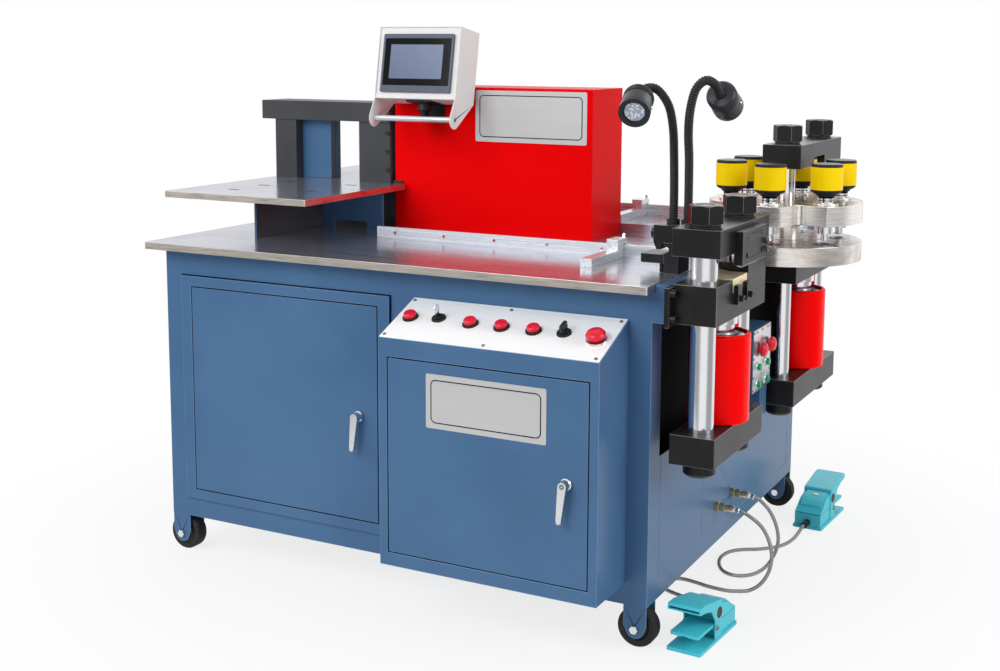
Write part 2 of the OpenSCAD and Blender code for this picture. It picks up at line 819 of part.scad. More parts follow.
module control_door() color(blue) placed() {
    difference() {
        translate([cdoor_x, -box_d, cdoor_z]) door_pan(cdoor_w, cdoor_h);
        lock_hole(control_lock, -box_d);
    }
    hinge_pins(cdoor_x, -box_d, cdoor_z, cdoor_h);
}

// Swing handle: round rosette, domed boss and a tapered lever that hangs down
module swing_handle(p, y) translate([p[0], y, p[1]]) {
    tip = [-8, -84];
    a = touch([0, 0], tip, 7, -1);
    translate([0, -slide_gap, 0]) rotate([90, 0, 0]) rotate_extrude()
        polygon([[0, 0], [lock_d / 2, 0], [lock_d / 2, 5], [lock_d / 2 - 3, 8], [11, 10], [11, lock_h - 4],
            [7, lock_h], [0, lock_h]]);
    bar_y([0, -slide_gap - 1, 0], door_deep + 6.5, lock_d - 12);
    along_y(-lock_h - 2, -lock_h + 8) {
        polygon([[-11, 0], [11, 0], [tip[0] + 7, tip[1]], [tip[0] - 7, tip[1]]]);
        circle(11);
        translate(tip) circle(7);
    }
    along_y(door_deep + 1, door_deep + 4) rounded([-8, -30], [8, 8], 4);
}

module left_handle() color(chrome) placed() swing_handle(left_lock, door_y);
module control_handle() color(chrome) placed() swing_handle(control_lock, -box_d);

// ---------------------------------------------------------------- control box and its panel

module on_slope(x, s) {
    translate([x, -box_d + s * cos(slope_a), box_front + s * sin(slope_a)]) rotate([slope_a, 0, 0])
        translate([0, 0, panel_t]) children();
}

module control_box() color(blue) placed() difference() {
    union() {
        difference() {
            along_x(box_x, box_x + box_w)
                polygon([[-box_d, box_z], [-seat, box_z], [-seat, box_back], [-box_d, box_front]]);
            along_x(box_x + sheet, box_x + box_w - sheet)
                polygon([[-box_d + sheet, box_z + sheet], [1, box_z + sheet], [1, box_back - sheet],
                    [-box_d + sheet, box_front - sheet]]);
        }
        // lip folded back round the door opening
        e = door_gap + sheet;
        block([cdoor_x - e, -box_d, cdoor_z - e],
            [cdoor_x + cdoor_w + e, -box_d + door_deep, cdoor_z + cdoor_h + e]);
    }
    hinge_bores(cdoor_x, -box_d, cdoor_z, cdoor_h);
    block([cdoor_x - door_gap, -box_d - 1, cdoor_z - door_gap],
        [cdoor_x + cdoor_w + door_gap, -box_d + door_deep + 1, cdoor_z + cdoor_h + door_gap]);
    for (p = barrel_spots) on_slope(p[0], p[1]) translate([0, 0, -20]) cylinder(h = 30, d = barrel_d + 1);
    for (p = screw_spots) on_slope(p[0], p[1]) translate([0, 0, -12]) cylinder(h = 20, d = 5);
}

// Bezel and threaded barrel of one control
module barrel(outer, bore, sink) difference() {
    union() {
        translate([0, 0, seat]) cylinder(h = bezel_h, d1 = outer, d2 = outer - 3);
        translate([0, 0, -26]) cylinder(h = 27, d = barrel_d);
    }
    translate([0, 0, -30]) cylinder(h = 40, d = bore + 2 * run_fit);
    translate([0, 0, 1]) cylinder(h = 10, d = sink);
}

module slope_panel() color(white) placed() {
    difference() {
        on_slope(0, 0) translate([box_x + 2, 0, -panel_t + seat])
            cube([box_w - 4, slope_len - 2, panel_t - seat]);
        for (p = barrel_spots) on_slope(p[0], p[1])
            translate([0, 0, -20]) cylinder(h = 30, d = barrel_d + 0.4);
        for (p = screw_spots) on_slope(p[0], p[1]) translate([0, 0, -12]) cylinder(h = 20, d = 4.5);
    }
    for (x = button_x) on_slope(x, row_s) barrel(42, stem_d, cap_d + 1);
    on_slope(estop_x, row_s - 10) barrel(54, stem_d, stem_d + 1);
    on_slope(key_x, row_s + 8) barrel(38, stem_d, stem_d + 1);
    on_slope(lever_x, row_s + 4) barrel(38, stem_d, stem_d + 1);
    for (p = screw_spots) on_slope(p[0], p[1]) {
        translate([0, 0, seat]) cylinder(h = 3, d1 = 9, d2 = 7);
        translate([0, 0, -10]) cylinder(h = 10 + 2 * seat, d = 4);
    }
}

// Push button: flat cap on a stem, its edge turned down
module push_button(x) color(red) placed() on_slope(x, row_s) rotate_extrude() {
    r = cap_d / 2;
    z = bezel_h + 0.3;
    polygon([[0, -24], [stem_d / 2, -24], [stem_d / 2, z], [r, z], [r, z + 8], [r - 3, z + 11], [0, z + 11]]);
}
module button_1() push_button(button_x[0]);
module button_2() push_button(button_x[1]);
module button_3() push_button(button_x[2]);
module button_4() push_button(button_x[3]);

// Mushroom head on a stem, standing on z = 0 of its bezel
module mushroom(d) rotate_extrude() {
    r = d / 2;
    z = bezel_h + cap_travel + 2;
    polygon([[0, -24], [stem_d / 2, -24], [stem_d / 2, z], [r - 2, z], [r, z + 3], [r, z + 8],
        [r * 0.8, z + 14],
        [r * 0.45, z + 17], [0, z + 18]]);
}
module estop() color(red) placed() on_slope(estop_x, row_s - 10) mushroom(stop_d);

module key_switch() color(chrome) placed() on_slope(key_x, row_s + 8) {
    translate([0, 0, -24]) cylinder(h = 24 + bezel_h + 4, d = stem_d);
    along_x(-1.5, 1.5) {
        translate([-5, bezel_h + 3]) square([10, 12]);
        translate([0, bezel_h + 24]) circle(12);
    }
}

module lever_switch() color(black) placed() on_slope(lever_x, row_s + 4) {
    translate([0, 0, -24]) cylinder(h = 24 + bezel_h + 6, d = stem_d);
    along_z(bezel_h + 5, bezel_h + 20) rounded([-5, -14], [5, 18], 4.9);
}

// Box on a bent stalk beside the presses
module side_box() color(blue) placed() {
    x = [side_x[1] - 38, side_x[1] - 2];
    difference() {
        along_x(side_x[0], side_x[1]) rounded([side_y[0], side_z[0]], [side_y[1], side_z[1]], 3);
        for (y = side_rows) bar_x([side_x[1] - 40, y, mushroom_z], 50, barrel_d + 0.4);
    }
    block([x[0], stalk_y[0], stalk_z[1] + seat], [x[1], stalk_y[1], side_z[0] - seat]);
    block([cab_x + seat, stalk_y[0], stalk_z[0]], [x[1], stalk_y[1], stalk_z[1]]);
    for (y = side_rows)
        translate([side_x[1], y, mushroom_z]) rotate([0, 90, 0]) barrel(40, stem_d, stem_d + 1);
}
module side_mushroom(y) color(red) placed()
    translate([side_x[1], y, mushroom_z]) rotate([0, 90, 0]) mushroom(mushroom_d);
module mushroom_1() side_mushroom(side_rows[0]);
module mushroom_2() side_mushroom(side_rows[1]);

// ---------------------------------------------------------------- presses

// Column with shouldered ends: body from z0 to z1, threaded ends to za and zb
module column(y, d, za, z0, z1, zb) {
    bar_z([press_x, y, z0], z1 - z0, d);
    bar_z([press_x, y, za], zb - za, d * end_d);
}

// Washer and hexagon nut on top of a press block
module top_nut(y, z, af, d) translate([press_x, y, z + seat]) {
    difference() {
        cylinder(h = washer_t, d = af * 0.96);
        translate([0, 0, -1]) cylinder(h = washer_t + 2, d = d * end_d + 0.4);
    }
    translate([0, 0, washer_t + seat]) nut(af, nut_h, d * end_d + 0.4);
}

// Round nut under a yoke
module under_nut(y, z, af, d) translate([press_x, y, z - seat - under_h]) difference() {
    r = af * 0.52;
    rotate_extrude() polygon([[0, 0], [r - 5, 0], [r, 5], [r, under_h], [0, under_h]]);
    translate([0, 0, -1]) cylinder(h = under_h + 2, d = d * end_d + 0.4);
}

module press_block(y0, y1, w, z0, z1) {
    along_z(z0, z1) rounded([press_x - w / 2, y0], [press_x + w / 2, y1], 3);
}

module press_bases() color(black) placed() {
    color(chrome) pistons();
    y0 = shear_y - 186;
    y1 = shear_y + 186;
    x1 = base_x + base_w;
    // shear base with its busbar slot
    difference() {
        union() {
            block([flange_x, y0 - 26, rail_z - 2], [base_x, y1 + 26, rail_top + 1]);
            block([base_x - 1, y0, shear_base_z], [x1, y1, shear_base_top]);
            block([base_x, slot_y[1] + 8, shear_base_top - 1], [x1, y1, shoulder_z]);
        }
        for (y = shear_rod_y) bar_z([press_x, y, shear_base_z - 1], 130, shear_rod_d + 2 * run_fit);
        block([base_x + 20, slot_y[0], slot_z], [x1 + 1, slot_y[1], shear_base_top + 1]);
        for (z = [825, 885]) for (y = [y0 - 14, y1 + 14]) bar_x([flange_x - 1, y, z], 30, 16.4);
        bar_z([press_x, shear_y, shear_base_z - 1], 12, piston_d - 20);
    }
    // punch base under the turret
    difference() {
        union() {
            block([flange_x, punch_ends[0], rail_z - 2], [base_x, punch_ends[1], punch_base_top]);
            block([base_x - 1, punch_ends[0], punch_base_z], [x1, punch_ends[1], punch_base_top]);
        }
        for (y = punch_rod_y) bar_z([press_x, y, punch_base_z - 1], 120, punch_rod_d + 2 * run_fit);
        for (y = [punch_y - 100, punch_y + 60]) bar_x([flange_x - 1, y, 822], 30, 16.4);
    }
}

module pistons() {
    for (y = [shear_y, punch_y]) {
        bar_z([press_x, y, piston_z], shear_base_z - seat - piston_z, piston_d);
        bar_z([press_x, y, cyl_top + 20], shear_base_z - seat - cyl_top - 20, piston_d + 14);
    }
}

// Press cylinder: its top is dished between the rim and the gland of the piston
module press_cylinder(y, z0) difference() {
    r = ram_cyl_d / 2;
    g = piston_d / 2 + 9;
    translate([press_x, y, 0]) rotate_extrude($fn = 72)
        polygon([[0, z0], [r - 3, z0], [r, z0 + 3], [r, cyl_top - 4], [r - 4, cyl_top], [r - 9, cyl_top],
            [r - 11, cyl_top - 7], [g, cyl_top - 7], [g, cyl_top - 2], [0, cyl_top - 2]]);
    bar_z([press_x, y, cyl_bore_z], 200, piston_d + 2 * run_fit);
}
module shear_cylinder() color(red) placed() press_cylinder(shear_y, shear_yoke_z + yoke_h + seat);
module punch_cylinder() color(red) placed() press_cylinder(punch_y, punch_yoke_z + yoke_h + seat);

module shear_head() color(black) placed() {
    x1 = press_x + shear_head_w / 2;
    difference() {
        press_block(shear_y - shear_len / 2, shear_y + shear_len / 2, shear_head_w, shear_head_z,
            shear_head_z + shear_head_h);
        for (y = shear_rod_y) bar_z([press_x, y, shear_head_z - 1], 90, shear_rod_d * end_d + 1);
    }
    // blade holder bolted to the outer face
    translate([x1 + seat, 0, 0]) difference() {
        along_x(0, 22) rounded([90, 944], [270, 1023], 2);
        for (y = [122, 238], z = [964, 1004]) {
            bar_x([-1, y, z], 30, 9);
            bar_x([12, y, z], 11, 15);
        }
        along_x(-1, 9) translate([100, 943]) square([160, 27]);
    }
    for (y = [122, 238]) translate([x1 + 13, y, 1004]) rotate([0, 90, 0]) cap_screw(8, 8);
    for (z = [964, 984]) translate([x1 + 22 + 3 * seat, 256, z]) rotate([0, 90, 0]) cap_screw(10, 0);
    // upper blade in the holder's rebate
    color(chrome) along_x(x1 + 2 * seat, x1 + 8)
        polygon([[102, 969.5], [258, 969.5], [258, 942], [236, 934], [124, 934], [102, 942]]);
}

module shear_rods() color(chrome) placed() {
    for (y = shear_rod_y) {
        column(y, shear_rod_d, shear_yoke_z - under_h + 4, shear_yoke_z + yoke_h + seat, shear_head_z - seat,
            shear_head_z + shear_head_h + washer_t + nut_h - 6);
        top_nut(y, shear_head_z + shear_head_h, shear_af, shear_rod_d);
        under_nut(y, shear_yoke_z, shear_af, shear_rod_d);
    }
}

module yoke(y0, y1, z0, rods, d) difference() {
    press_block(y0, y1, yoke_w, z0, z0 + yoke_h);
    for (y = rods) bar_z([press_x, y, z0 - 1], yoke_h + 2, d * end_d + 1);
}
module shear_yoke() color(black) placed()
    yoke(shear_y - 187, shear_y + 187, shear_yoke_z, shear_rod_y, shear_rod_d);
module punch_yoke() color(black) placed()
    yoke(punch_y - punch_len / 2, punch_y + punch_len / 2, punch_yoke_z, punch_rod_y, punch_rod_d);

// Crosshead of the punch, relieved below so that the punches pass under it as the turret turns
module punch_crosshead() color(black) placed() difference() {
    press_block(punch_ends[0], punch_ends[1], cross_w, cross_z, cross_z + cross_h);
    for (y = punch_rod_y) bar_z([press_x, y, cross_z - 1], cross_h + 2, punch_rod_d * end_d + 1);
    block([press_x - cross_w, hub_y + ring_r - sleeve_d / 2 - 20, cross_z - 1],
        [press_x + cross_w, hub_y + ring_r + sleeve_d / 2 + 7, relief_z]);
}

module punch_rods() color(chrome) placed() {
    for (y = punch_rod_y) {
        column(y, punch_rod_d, punch_yoke_z - under_h + 4, punch_yoke_z + yoke_h + seat, cross_z - seat,
            cross_z + cross_h + washer_t + nut_h - 6);
        top_nut(y, cross_z + cross_h, punch_af, punch_rod_d);
        under_nut(y, punch_yoke_z, punch_af, punch_rod_d);
    }
}

// Hold-down stand: post with a V groove, overhanging block, lower jaw and hexagon knob
module hold_down() {
    x = stand_x;
    y = [stand_y - stand_w / 2, stand_y + stand_w / 2];
    z = table_z + stand_post;
    difference() {
        block([x, y[0], table_z], [x + 36, y[1], z]);
        along_y(y[0] - 1, y[1] + 1)
            polygon([[x - 2, z - 28], [x + 12, z - 20], [x + 12, z - 13], [x - 2, z - 5]]);
    }
    difference() {
        union() {
            block([x - 28, y[0], z + seat], [x + 62, y[1], stand_top]);
            along_y(y[0], y[1])
                polygon([[x - 28, z + 1], [x - 10, z + 1], [x - 10, z - 17], [x - 20, z - 17]]);
        }
        block([x + 14, y[0] + 10, stand_top - 8], [x + 28, y[0] + 25, stand_top + 2]);
    }
    block([x - 60, y[0], table_z + 24], [x - seat, y[1], table_z + 46]);
    for (s = [-25, 25]) translate([x - 10, stand_y + s, table_z + seat]) cylinder(h = 24 - 2 * seat, d = 12);
    translate([x - 28 - seat, stand_y, z + 17]) rotate([0, -90, 0]) nut(24, 18, 0);
}

module shear_fixtures() color(black) placed() {
    x1 = base_x + base_w;
    hold_down();
    // clamps below the shear slot
    for (y = [128, 196]) {
        along_x(x1 + seat, x1 + 12) rounded([y - 14, slot_z - 30], [y + 14, slot_z + 16], 3);
        translate([x1 + 12 + seat, y, slot_z - 16]) rotate([0, 90, 0]) cap_screw(10, 0);
    }
    // brass bed in the slot
    color(brass) along_y(slot_y[0] + 1, slot_y[1] - 1) polygon([[base_x + 22, slot_z + seat],
        [x1 - 1, slot_z + seat], [x1 - 1, bed_z], [x1 - 40, bed_z], [base_x + 36, bed_z + 4],
        [base_x + 22, bed_z + 4]]);
}

// ---------------------------------------------------------------- turret

// V-shaped notch through a disc edge, its bottom a round channel
module notch() rotate(notch_a) translate([turret_r, 0]) {
    translate([-notch_deep + 16, 0]) circle(16);
    polygon([[-notch_deep + 16, -16], [6, -notch_w / 2 - 6], [6, notch_w / 2 + 6], [-notch_deep + 16, 16]]);
}

module at_punches(list) {
    for (i = list) translate([press_x, hub_y, 0])
        rotate(90 + 360 * i / punch_n) translate([ring_r, 0, 0]) children();
}

module turret() color(steel) placed() {
    neck = punch_d - 5;
    difference() {
        union() {
            translate([press_x, hub_y, 0]) {
                along_z(die_z - die_t, die_z) circle(turret_r, $fn = 96);
                along_z(disc_z, disc_top) difference() {
                    circle(turret_r, $fn = 96);
                    notch();
                }
                translate([0, 0, disc_z - 12]) cylinder(h = 13, d1 = hub_d + 40, d2 = hub_d + 56);
                translate([0, 0, die_z - 1]) cylinder(h = disc_gap, d = hub_d);
            }
            at_punches(all_punches) bar_z([0, 0, disc_top - 1], guide_h + 1, 66);
        }
        bar_z([press_x, hub_y, -1], 1200, punch_rod_d + 2 * run_fit);
        at_punches(all_punches) {
            bar_z([0, 0, disc_z - 30], 120, neck + 2 * run_fit);
            bar_z([0, 0, die_z - 8], 20, 58);
            bar_z([0, 0, die_z - die_t - 1], die_t + 2, 24);
        }
    }
}

// One punch: spindle with its tip and spring cone, yellow sleeve and black cap
module punch(i) color(yellow) placed() at_punches([i]) {
    neck = punch_d - 5;
    z = disc_top + guide_h + punch_stroke + 2;
    z1 = z + ring_t;
    z2 = cap_top - lid_t;
    rotate_extrude() polygon([[0, tip_z], [10, tip_z], [10, disc_z - 24], [neck / 2, disc_z - 24],
        [neck / 2, z], [25, z], [27, z + 5], [33, z + 7], [sleeve_d / 2 - 2, z1 - 5], [sleeve_d / 2 - 2, z1],
        [0, z1]]);
    translate([0, 0, z1 + seat]) cylinder(h = z2 - z1 - 2 * seat, d = sleeve_d);
    translate([0, 0, z2]) rotate_extrude() polygon([[0, 0], [sleeve_d / 2 - 1, 0],
        [sleeve_d / 2 - 1, lid_t - 3], [sleeve_d / 2 - 4, lid_t], [0, lid_t]]);
}
module punch_head() punch(0);
module punch_2() punch(1);
module punch_3() punch(2);
module punch_4() punch(3);
module punch_5() punch(4);
module punch_6() punch(5);

// ---------------------------------------------------------------- lamps, glands, hoses

// Lamp: collar, gooseneck and a turned head that points along aim
module lamp(line, aim) {
    tip = line[len(line) - 1];
    r = lamp_d / 2;
    tube(curve(concat([line[0] + [0, 0, 1]], [for (i = [1:len(line) - 1]) line[i]]), 3), neck_d, 12);
    translate(line[0]) cylinder(h = 14, d = neck_d + 12);
    translate(tip - 2 * unit(aim)) rotate([0, acos(aim[2] / norm(aim)), atan2(aim[1], aim[0])])
        rotate_extrude() polygon([[0, 0], [neck_d / 2 + 4, 0], [neck_d / 2 + 4, 6], [r - 7, 8], [r - 2, 13],
            [r - 2, 34], [r - 4, 35], [r - 4, 37], [r - 2, 38], [r, lamp_len - 14], [r, lamp_len],
            [r - 10, lamp_len], [r - 13, lamp_len - 8], [0, lamp_len - 8]]);
}

module lamps() color(black) placed() translate(lamp_foot + [0, 0, seat]) {
    lamp(neck_1, aim_1);
    lamp(neck_2, aim_2);
}

module glands() color(brass) placed() for (y = gland_y) translate([cab_x, y, gland_z]) rotate([0, 90, 0]) {
    translate([0, 0, -8]) cylinder(h = 9, d = 16);
    translate([0, 0, seat]) cylinder(h = 12, r = 13, $fn = 6);
    translate([0, 0, 11]) cylinder(h = 5, d = 17);
    translate([0, 0, 15]) cylinder(h = 14, r = 12, $fn = 6);
    difference() {
        translate([0, 0, 28]) cylinder(h = gland_out - cab_x - 28, d = 18);
        translate([0, 0, 36]) cylinder(h = 40, d = hose_d);
    }
}

module hose_a() color(steel) placed() tube(curve(hose_a_route, 2), hose_d, 10);
module hose_b() color(steel) placed() tube(curve(hose_b_route, 2), hose_d, 10);

// ---------------------------------------------------------------- foot switches
// Drawn with the open end at y = 0 and the cord end at y = foot_l, middle of the width at x = 0

module at_foot(p) translate([p[0], p[1], 0]) rotate(p[2]) children();

// Side view of the cast hood over the pedal
module hood(g) {
    polygon([[g > 0 ? -1 : 0, foot_h - 16 + g], [g > 0 ? -1 : 0, foot_h - 4 - g], [4, foot_h - g],
        [34, foot_h - g], [132, 101 - g], [136, 97 - g], [136, 9], [hinge_l - 10, 9], [hinge_l - 10, 56],
        [72, 88], [40, foot_h - 22]]);
}

// Side view of the lower switch housing behind the hood
module switch_housing() {
    polygon([[hinge_l, 8], [hinge_l, 90], [140, 88], [182, 78], [204, 64], [220, 54], [foot_l - 4, 50],
        [foot_l - 4, 8]]);
}

module foot_switch() {
    w = foot_w / 2;
    inner = w - 2 - foot_wall;
    difference() {
        union() {
            along_z(0, 9) rounded([-w, 0], [w, foot_l], 6);
            along_x(-w + 2, w - 2) hood(0);
            along_x(-w + 5, w - 5) switch_housing();
            // lid over the switch
            along_x(-w + 13, w - 13) polygon([[138, 86], [138, 93], [183, 82], [207, 67], [205, 60]]);
        }
        along_x(-inner, inner) intersection() {
            hood(foot_wall);
            translate([-2, 0]) square([120, foot_h]);
        }
        along_x(-inner, inner) polygon([[-1, 9], [118, 9], [118, 86], [hinge_l, 88], [-1, 98]]);
        for (z = [54, 70]) along_x(-inner, inner) translate([117, z]) square([3, 1.5]);
        bar_x([-w, hinge_l, hinge_z], foot_w, hinge_d + 2 * run_fit);
        along_x(-w - 1, w + 1) translate([142, 46]) square([foot_l, 1.5]);
        along_x(-w + 7, w - 7) translate([140, 45]) square([1, 1]);
    }
    // cord gland at the back
    difference() {
        bar_y([0, foot_l - 6, cord_z], cord_l - foot_l + 16, 20);
        bar_y([0, cord_l, cord_z], 20, hose_d + 1.4);
    }
}

module pedal() {
    w = foot_w / 2 - 2 - foot_wall - 1.5;
    difference() {
        along_z(hinge_z + 4, hinge_z + 4 + pedal_t) rounded([-w, 4], [w, hinge_l + 6], 5);
        translate([-8, 3, hinge_z + 3]) cube([16, 4, pedal_t + 2]);
    }
    bar_x([-w, hinge_l, hinge_z], 2 * w, 14);
    bar_x([-foot_w / 2 + 2.5, hinge_l, hinge_z], foot_w - 5, hinge_d);
}

module foot_front() color(teal) placed() at_foot(foot_a) foot_switch();
module foot_rear() color(teal) placed() at_foot(foot_b) foot_switch();
module foot_front_pedal() color(teal) placed() at_foot(foot_a) pedal();
module foot_rear_pedal() color(teal) placed() at_foot(foot_b) pedal();

// ---------------------------------------------------------------- fasteners and inner pieces

module bolts() color(steel) placed() {
    // axle bolts with their nuts
    for (p = fork_mid) translate([p[0], p[1], wheel_d / 2]) rotate([-90, 0, 0]) {
        out = fork_gap / 2 + fork_t + seat;
        translate([0, 0, -out - 8]) nut(19, 8, 0);
        translate([0, 0, -out - 1]) cylinder(h = 2 * out + 12, d = axle_d);
        translate([0, 0, out]) nut(19, 9, axle_d + 0.4);
    }
    // flange bolts of both presses
    for (z = [825, 885]) for (y = [shear_y - 200, shear_y + 200])
        translate([base_x + seat, y, z]) rotate([0, 90, 0]) cap_screw(14, 10);
}

// Hydraulic unit on the cabinet floor: tank, motor, pump and valve block
module power_unit() {
    z0 = cab_z + sheet + seat;
    z1 = z0 + tank[2];
    along_z(z0, z1) rounded([-tank[0] / 2, tank_y - tank[1] / 2], [tank[0] / 2, tank_y + tank[1] / 2], 12);
    bar_x([-150, tank_y, z1 + motor_d / 2 + 1], 300, motor_d);
    block([-120, tank_y - 60, z1 + seat], [120, tank_y + 60, z1 + 40]);
    along_x(160, 250) rounded([tank_y - 60, z1 + seat], [tank_y + 60, z1 + 160], 10);
    block([170, tank_y - 190, z1 + seat], [250, tank_y - 90, z1 + 120]);
}

// Mounting plate and rows of electrical devices in the control box
module electrics() {
    y = -seat * 2;
    pitch = (box_w - 182) / 6;
    block([box_x + 60, y - 3, box_z + 60], [box_x + box_w - 60, y, box_z + 540]);
    for (z = [box_z + 130, box_z + 300, box_z + 440]) {
        block([box_x + 80, y - 12, z], [box_x + box_w - 80, y - 3 - seat, z + 35]);
        for (i = [0:5]) translate([box_x + 90 + i * pitch, y - 72, z - 22]) cube([pitch - 12, 60 - seat, 80]);
    }
}

module inner_units() color(slate) placed() {
    power_unit();
    electrics();
}

// ---------------------------------------------------------------- node selection

cabinet();
table();
rear_table();
rails();
bend_support();
bend_plate();
bend_frame();
housing();
bend_ram();
left_door();
left_handle();
control_box();
control_door();
control_handle();
slope_panel();
button_1();
button_2();
button_3();
button_4();
estop();
key_switch();
lever_switch();
hmi_box();
hmi_panel();
press_bases();
shear_fixtures();
shear_head();
shear_rods();
shear_yoke();
shear_cylinder();
punch_crosshead();
punch_rods();
punch_yoke();
punch_cylinder();
lamps();
turret();
punch_head();
punch_2();
punch_3();
punch_4();
punch_5();
punch_6();
side_box();
mushroom_1();
mushroom_2();
wheel_fl();
wheel_fr();
wheel_rl();
wheel_rr();
stop_front();
stop_rear();
foot_front();
foot_front_pedal();
foot_rear();
foot_rear_pedal();
glands();
hose_a();
hose_b();
bolts();
inner_units();
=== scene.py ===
import json
from math import atan2, cos, pi, radians, sin
import bmesh
import bpy
from mathutils import Matrix, Vector

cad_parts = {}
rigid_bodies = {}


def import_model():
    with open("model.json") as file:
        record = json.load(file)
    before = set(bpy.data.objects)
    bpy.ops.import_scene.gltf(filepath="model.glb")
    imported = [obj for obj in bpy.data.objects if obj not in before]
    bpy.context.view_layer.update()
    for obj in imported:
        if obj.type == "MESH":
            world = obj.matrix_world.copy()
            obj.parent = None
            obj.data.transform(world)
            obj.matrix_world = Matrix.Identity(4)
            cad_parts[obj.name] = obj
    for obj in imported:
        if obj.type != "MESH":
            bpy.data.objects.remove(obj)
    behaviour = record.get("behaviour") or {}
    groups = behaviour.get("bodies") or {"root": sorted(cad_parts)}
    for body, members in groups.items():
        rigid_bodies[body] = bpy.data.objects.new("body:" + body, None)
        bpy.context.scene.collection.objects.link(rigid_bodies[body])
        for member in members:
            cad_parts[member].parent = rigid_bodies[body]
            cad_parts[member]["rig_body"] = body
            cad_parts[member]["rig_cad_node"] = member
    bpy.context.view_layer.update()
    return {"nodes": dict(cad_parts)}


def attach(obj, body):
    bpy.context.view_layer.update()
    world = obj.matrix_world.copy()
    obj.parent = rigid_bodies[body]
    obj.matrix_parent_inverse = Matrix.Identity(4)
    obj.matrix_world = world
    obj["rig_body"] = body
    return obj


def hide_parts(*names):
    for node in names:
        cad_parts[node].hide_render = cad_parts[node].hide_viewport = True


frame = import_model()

# Busbar processing machine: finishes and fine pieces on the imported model. Metres, in the model's own frame.

MM = 0.001
nodes = frame["nodes"]

# The part's own drawing frame has its zero at the middle of the cabinet's front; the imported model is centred.
CENTRE = Vector((118.75, 531.0, 0.0))


def at(x, y, z):
    """A point of the part's drawing, in millimetres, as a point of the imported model."""
    return (Vector((x, y, z)) - CENTRE) * MM


def drawn(point):
    """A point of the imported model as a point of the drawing, in millimetres."""
    return Vector(point) / MM + CENTRE


# ---------------------------------------------------------------- camera

EYE = at(1877, -2941, 1443)
YAW, PITCH, ROLL = 27.51, 7.83, 0.28
SENSOR = 36.0
LENS = 1.3703 * SENSOR
SHIFT = (-0.0056, -0.1)


def place_camera():
    """The main view: turned to the left by yaw, down by pitch and a little by roll, in degrees."""
    data = bpy.data.cameras.new("camera")
    camera = bpy.data.objects.new("camera", data)
    bpy.context.scene.collection.objects.link(camera)
    yaw, pitch, roll = radians(YAW), radians(PITCH), radians(ROLL)
    look = Vector((-sin(yaw) * cos(pitch), cos(yaw) * cos(pitch), -sin(pitch)))
    right = Vector((cos(yaw), sin(yaw), 0.0))
    up = right.cross(look)
    right, up = right * cos(roll) + up * sin(roll), up * cos(roll) - right * sin(roll)
    turn = Matrix((right, up, -look)).transposed().to_4x4()
    camera.matrix_world = Matrix.Translation(EYE) @ turn
    data.sensor_width = SENSOR
    data.lens = LENS
    data.shift_x, data.shift_y = SHIFT
    bpy.context.scene.camera = camera


place_camera()

# ---------------------------------------------------------------- shader helpers


class Value:
    """A shader number. Python operators on it add Math nodes."""

    def __init__(self, tree, socket):
        self.tree = tree
        self.socket = socket

    def math(self, kind, *terms):
        return self.tree.node("ShaderNodeMath", {"operation": kind}, dict(enumerate(terms)))

    def __add__(self, other):
        return self.math("ADD", self, other)

    def __sub__(self, other):
        return self.math("SUBTRACT", self, other)

    def __rsub__(self, other):
        return self.math("SUBTRACT", other, self)

    def __mul__(self, other):
        return self.math("MULTIPLY", self, other)

    def __gt__(self, other):
        return self.math("GREATER_THAN", self, other)

    __radd__ = __add__
    __rmul__ = __mul__

    def sine(self):
        return self.math("SINE", self)

    def absolute(self):
        return self.math("ABSOLUTE", self)

    def smooth(self, low, high):
        """0 below low, 1 above high, a soft step between."""
        return self.tree.node("ShaderNodeMapRange", {"interpolation_type": "SMOOTHSTEP"},
                              {"Value": self, "From Min": low, "From Max": high})


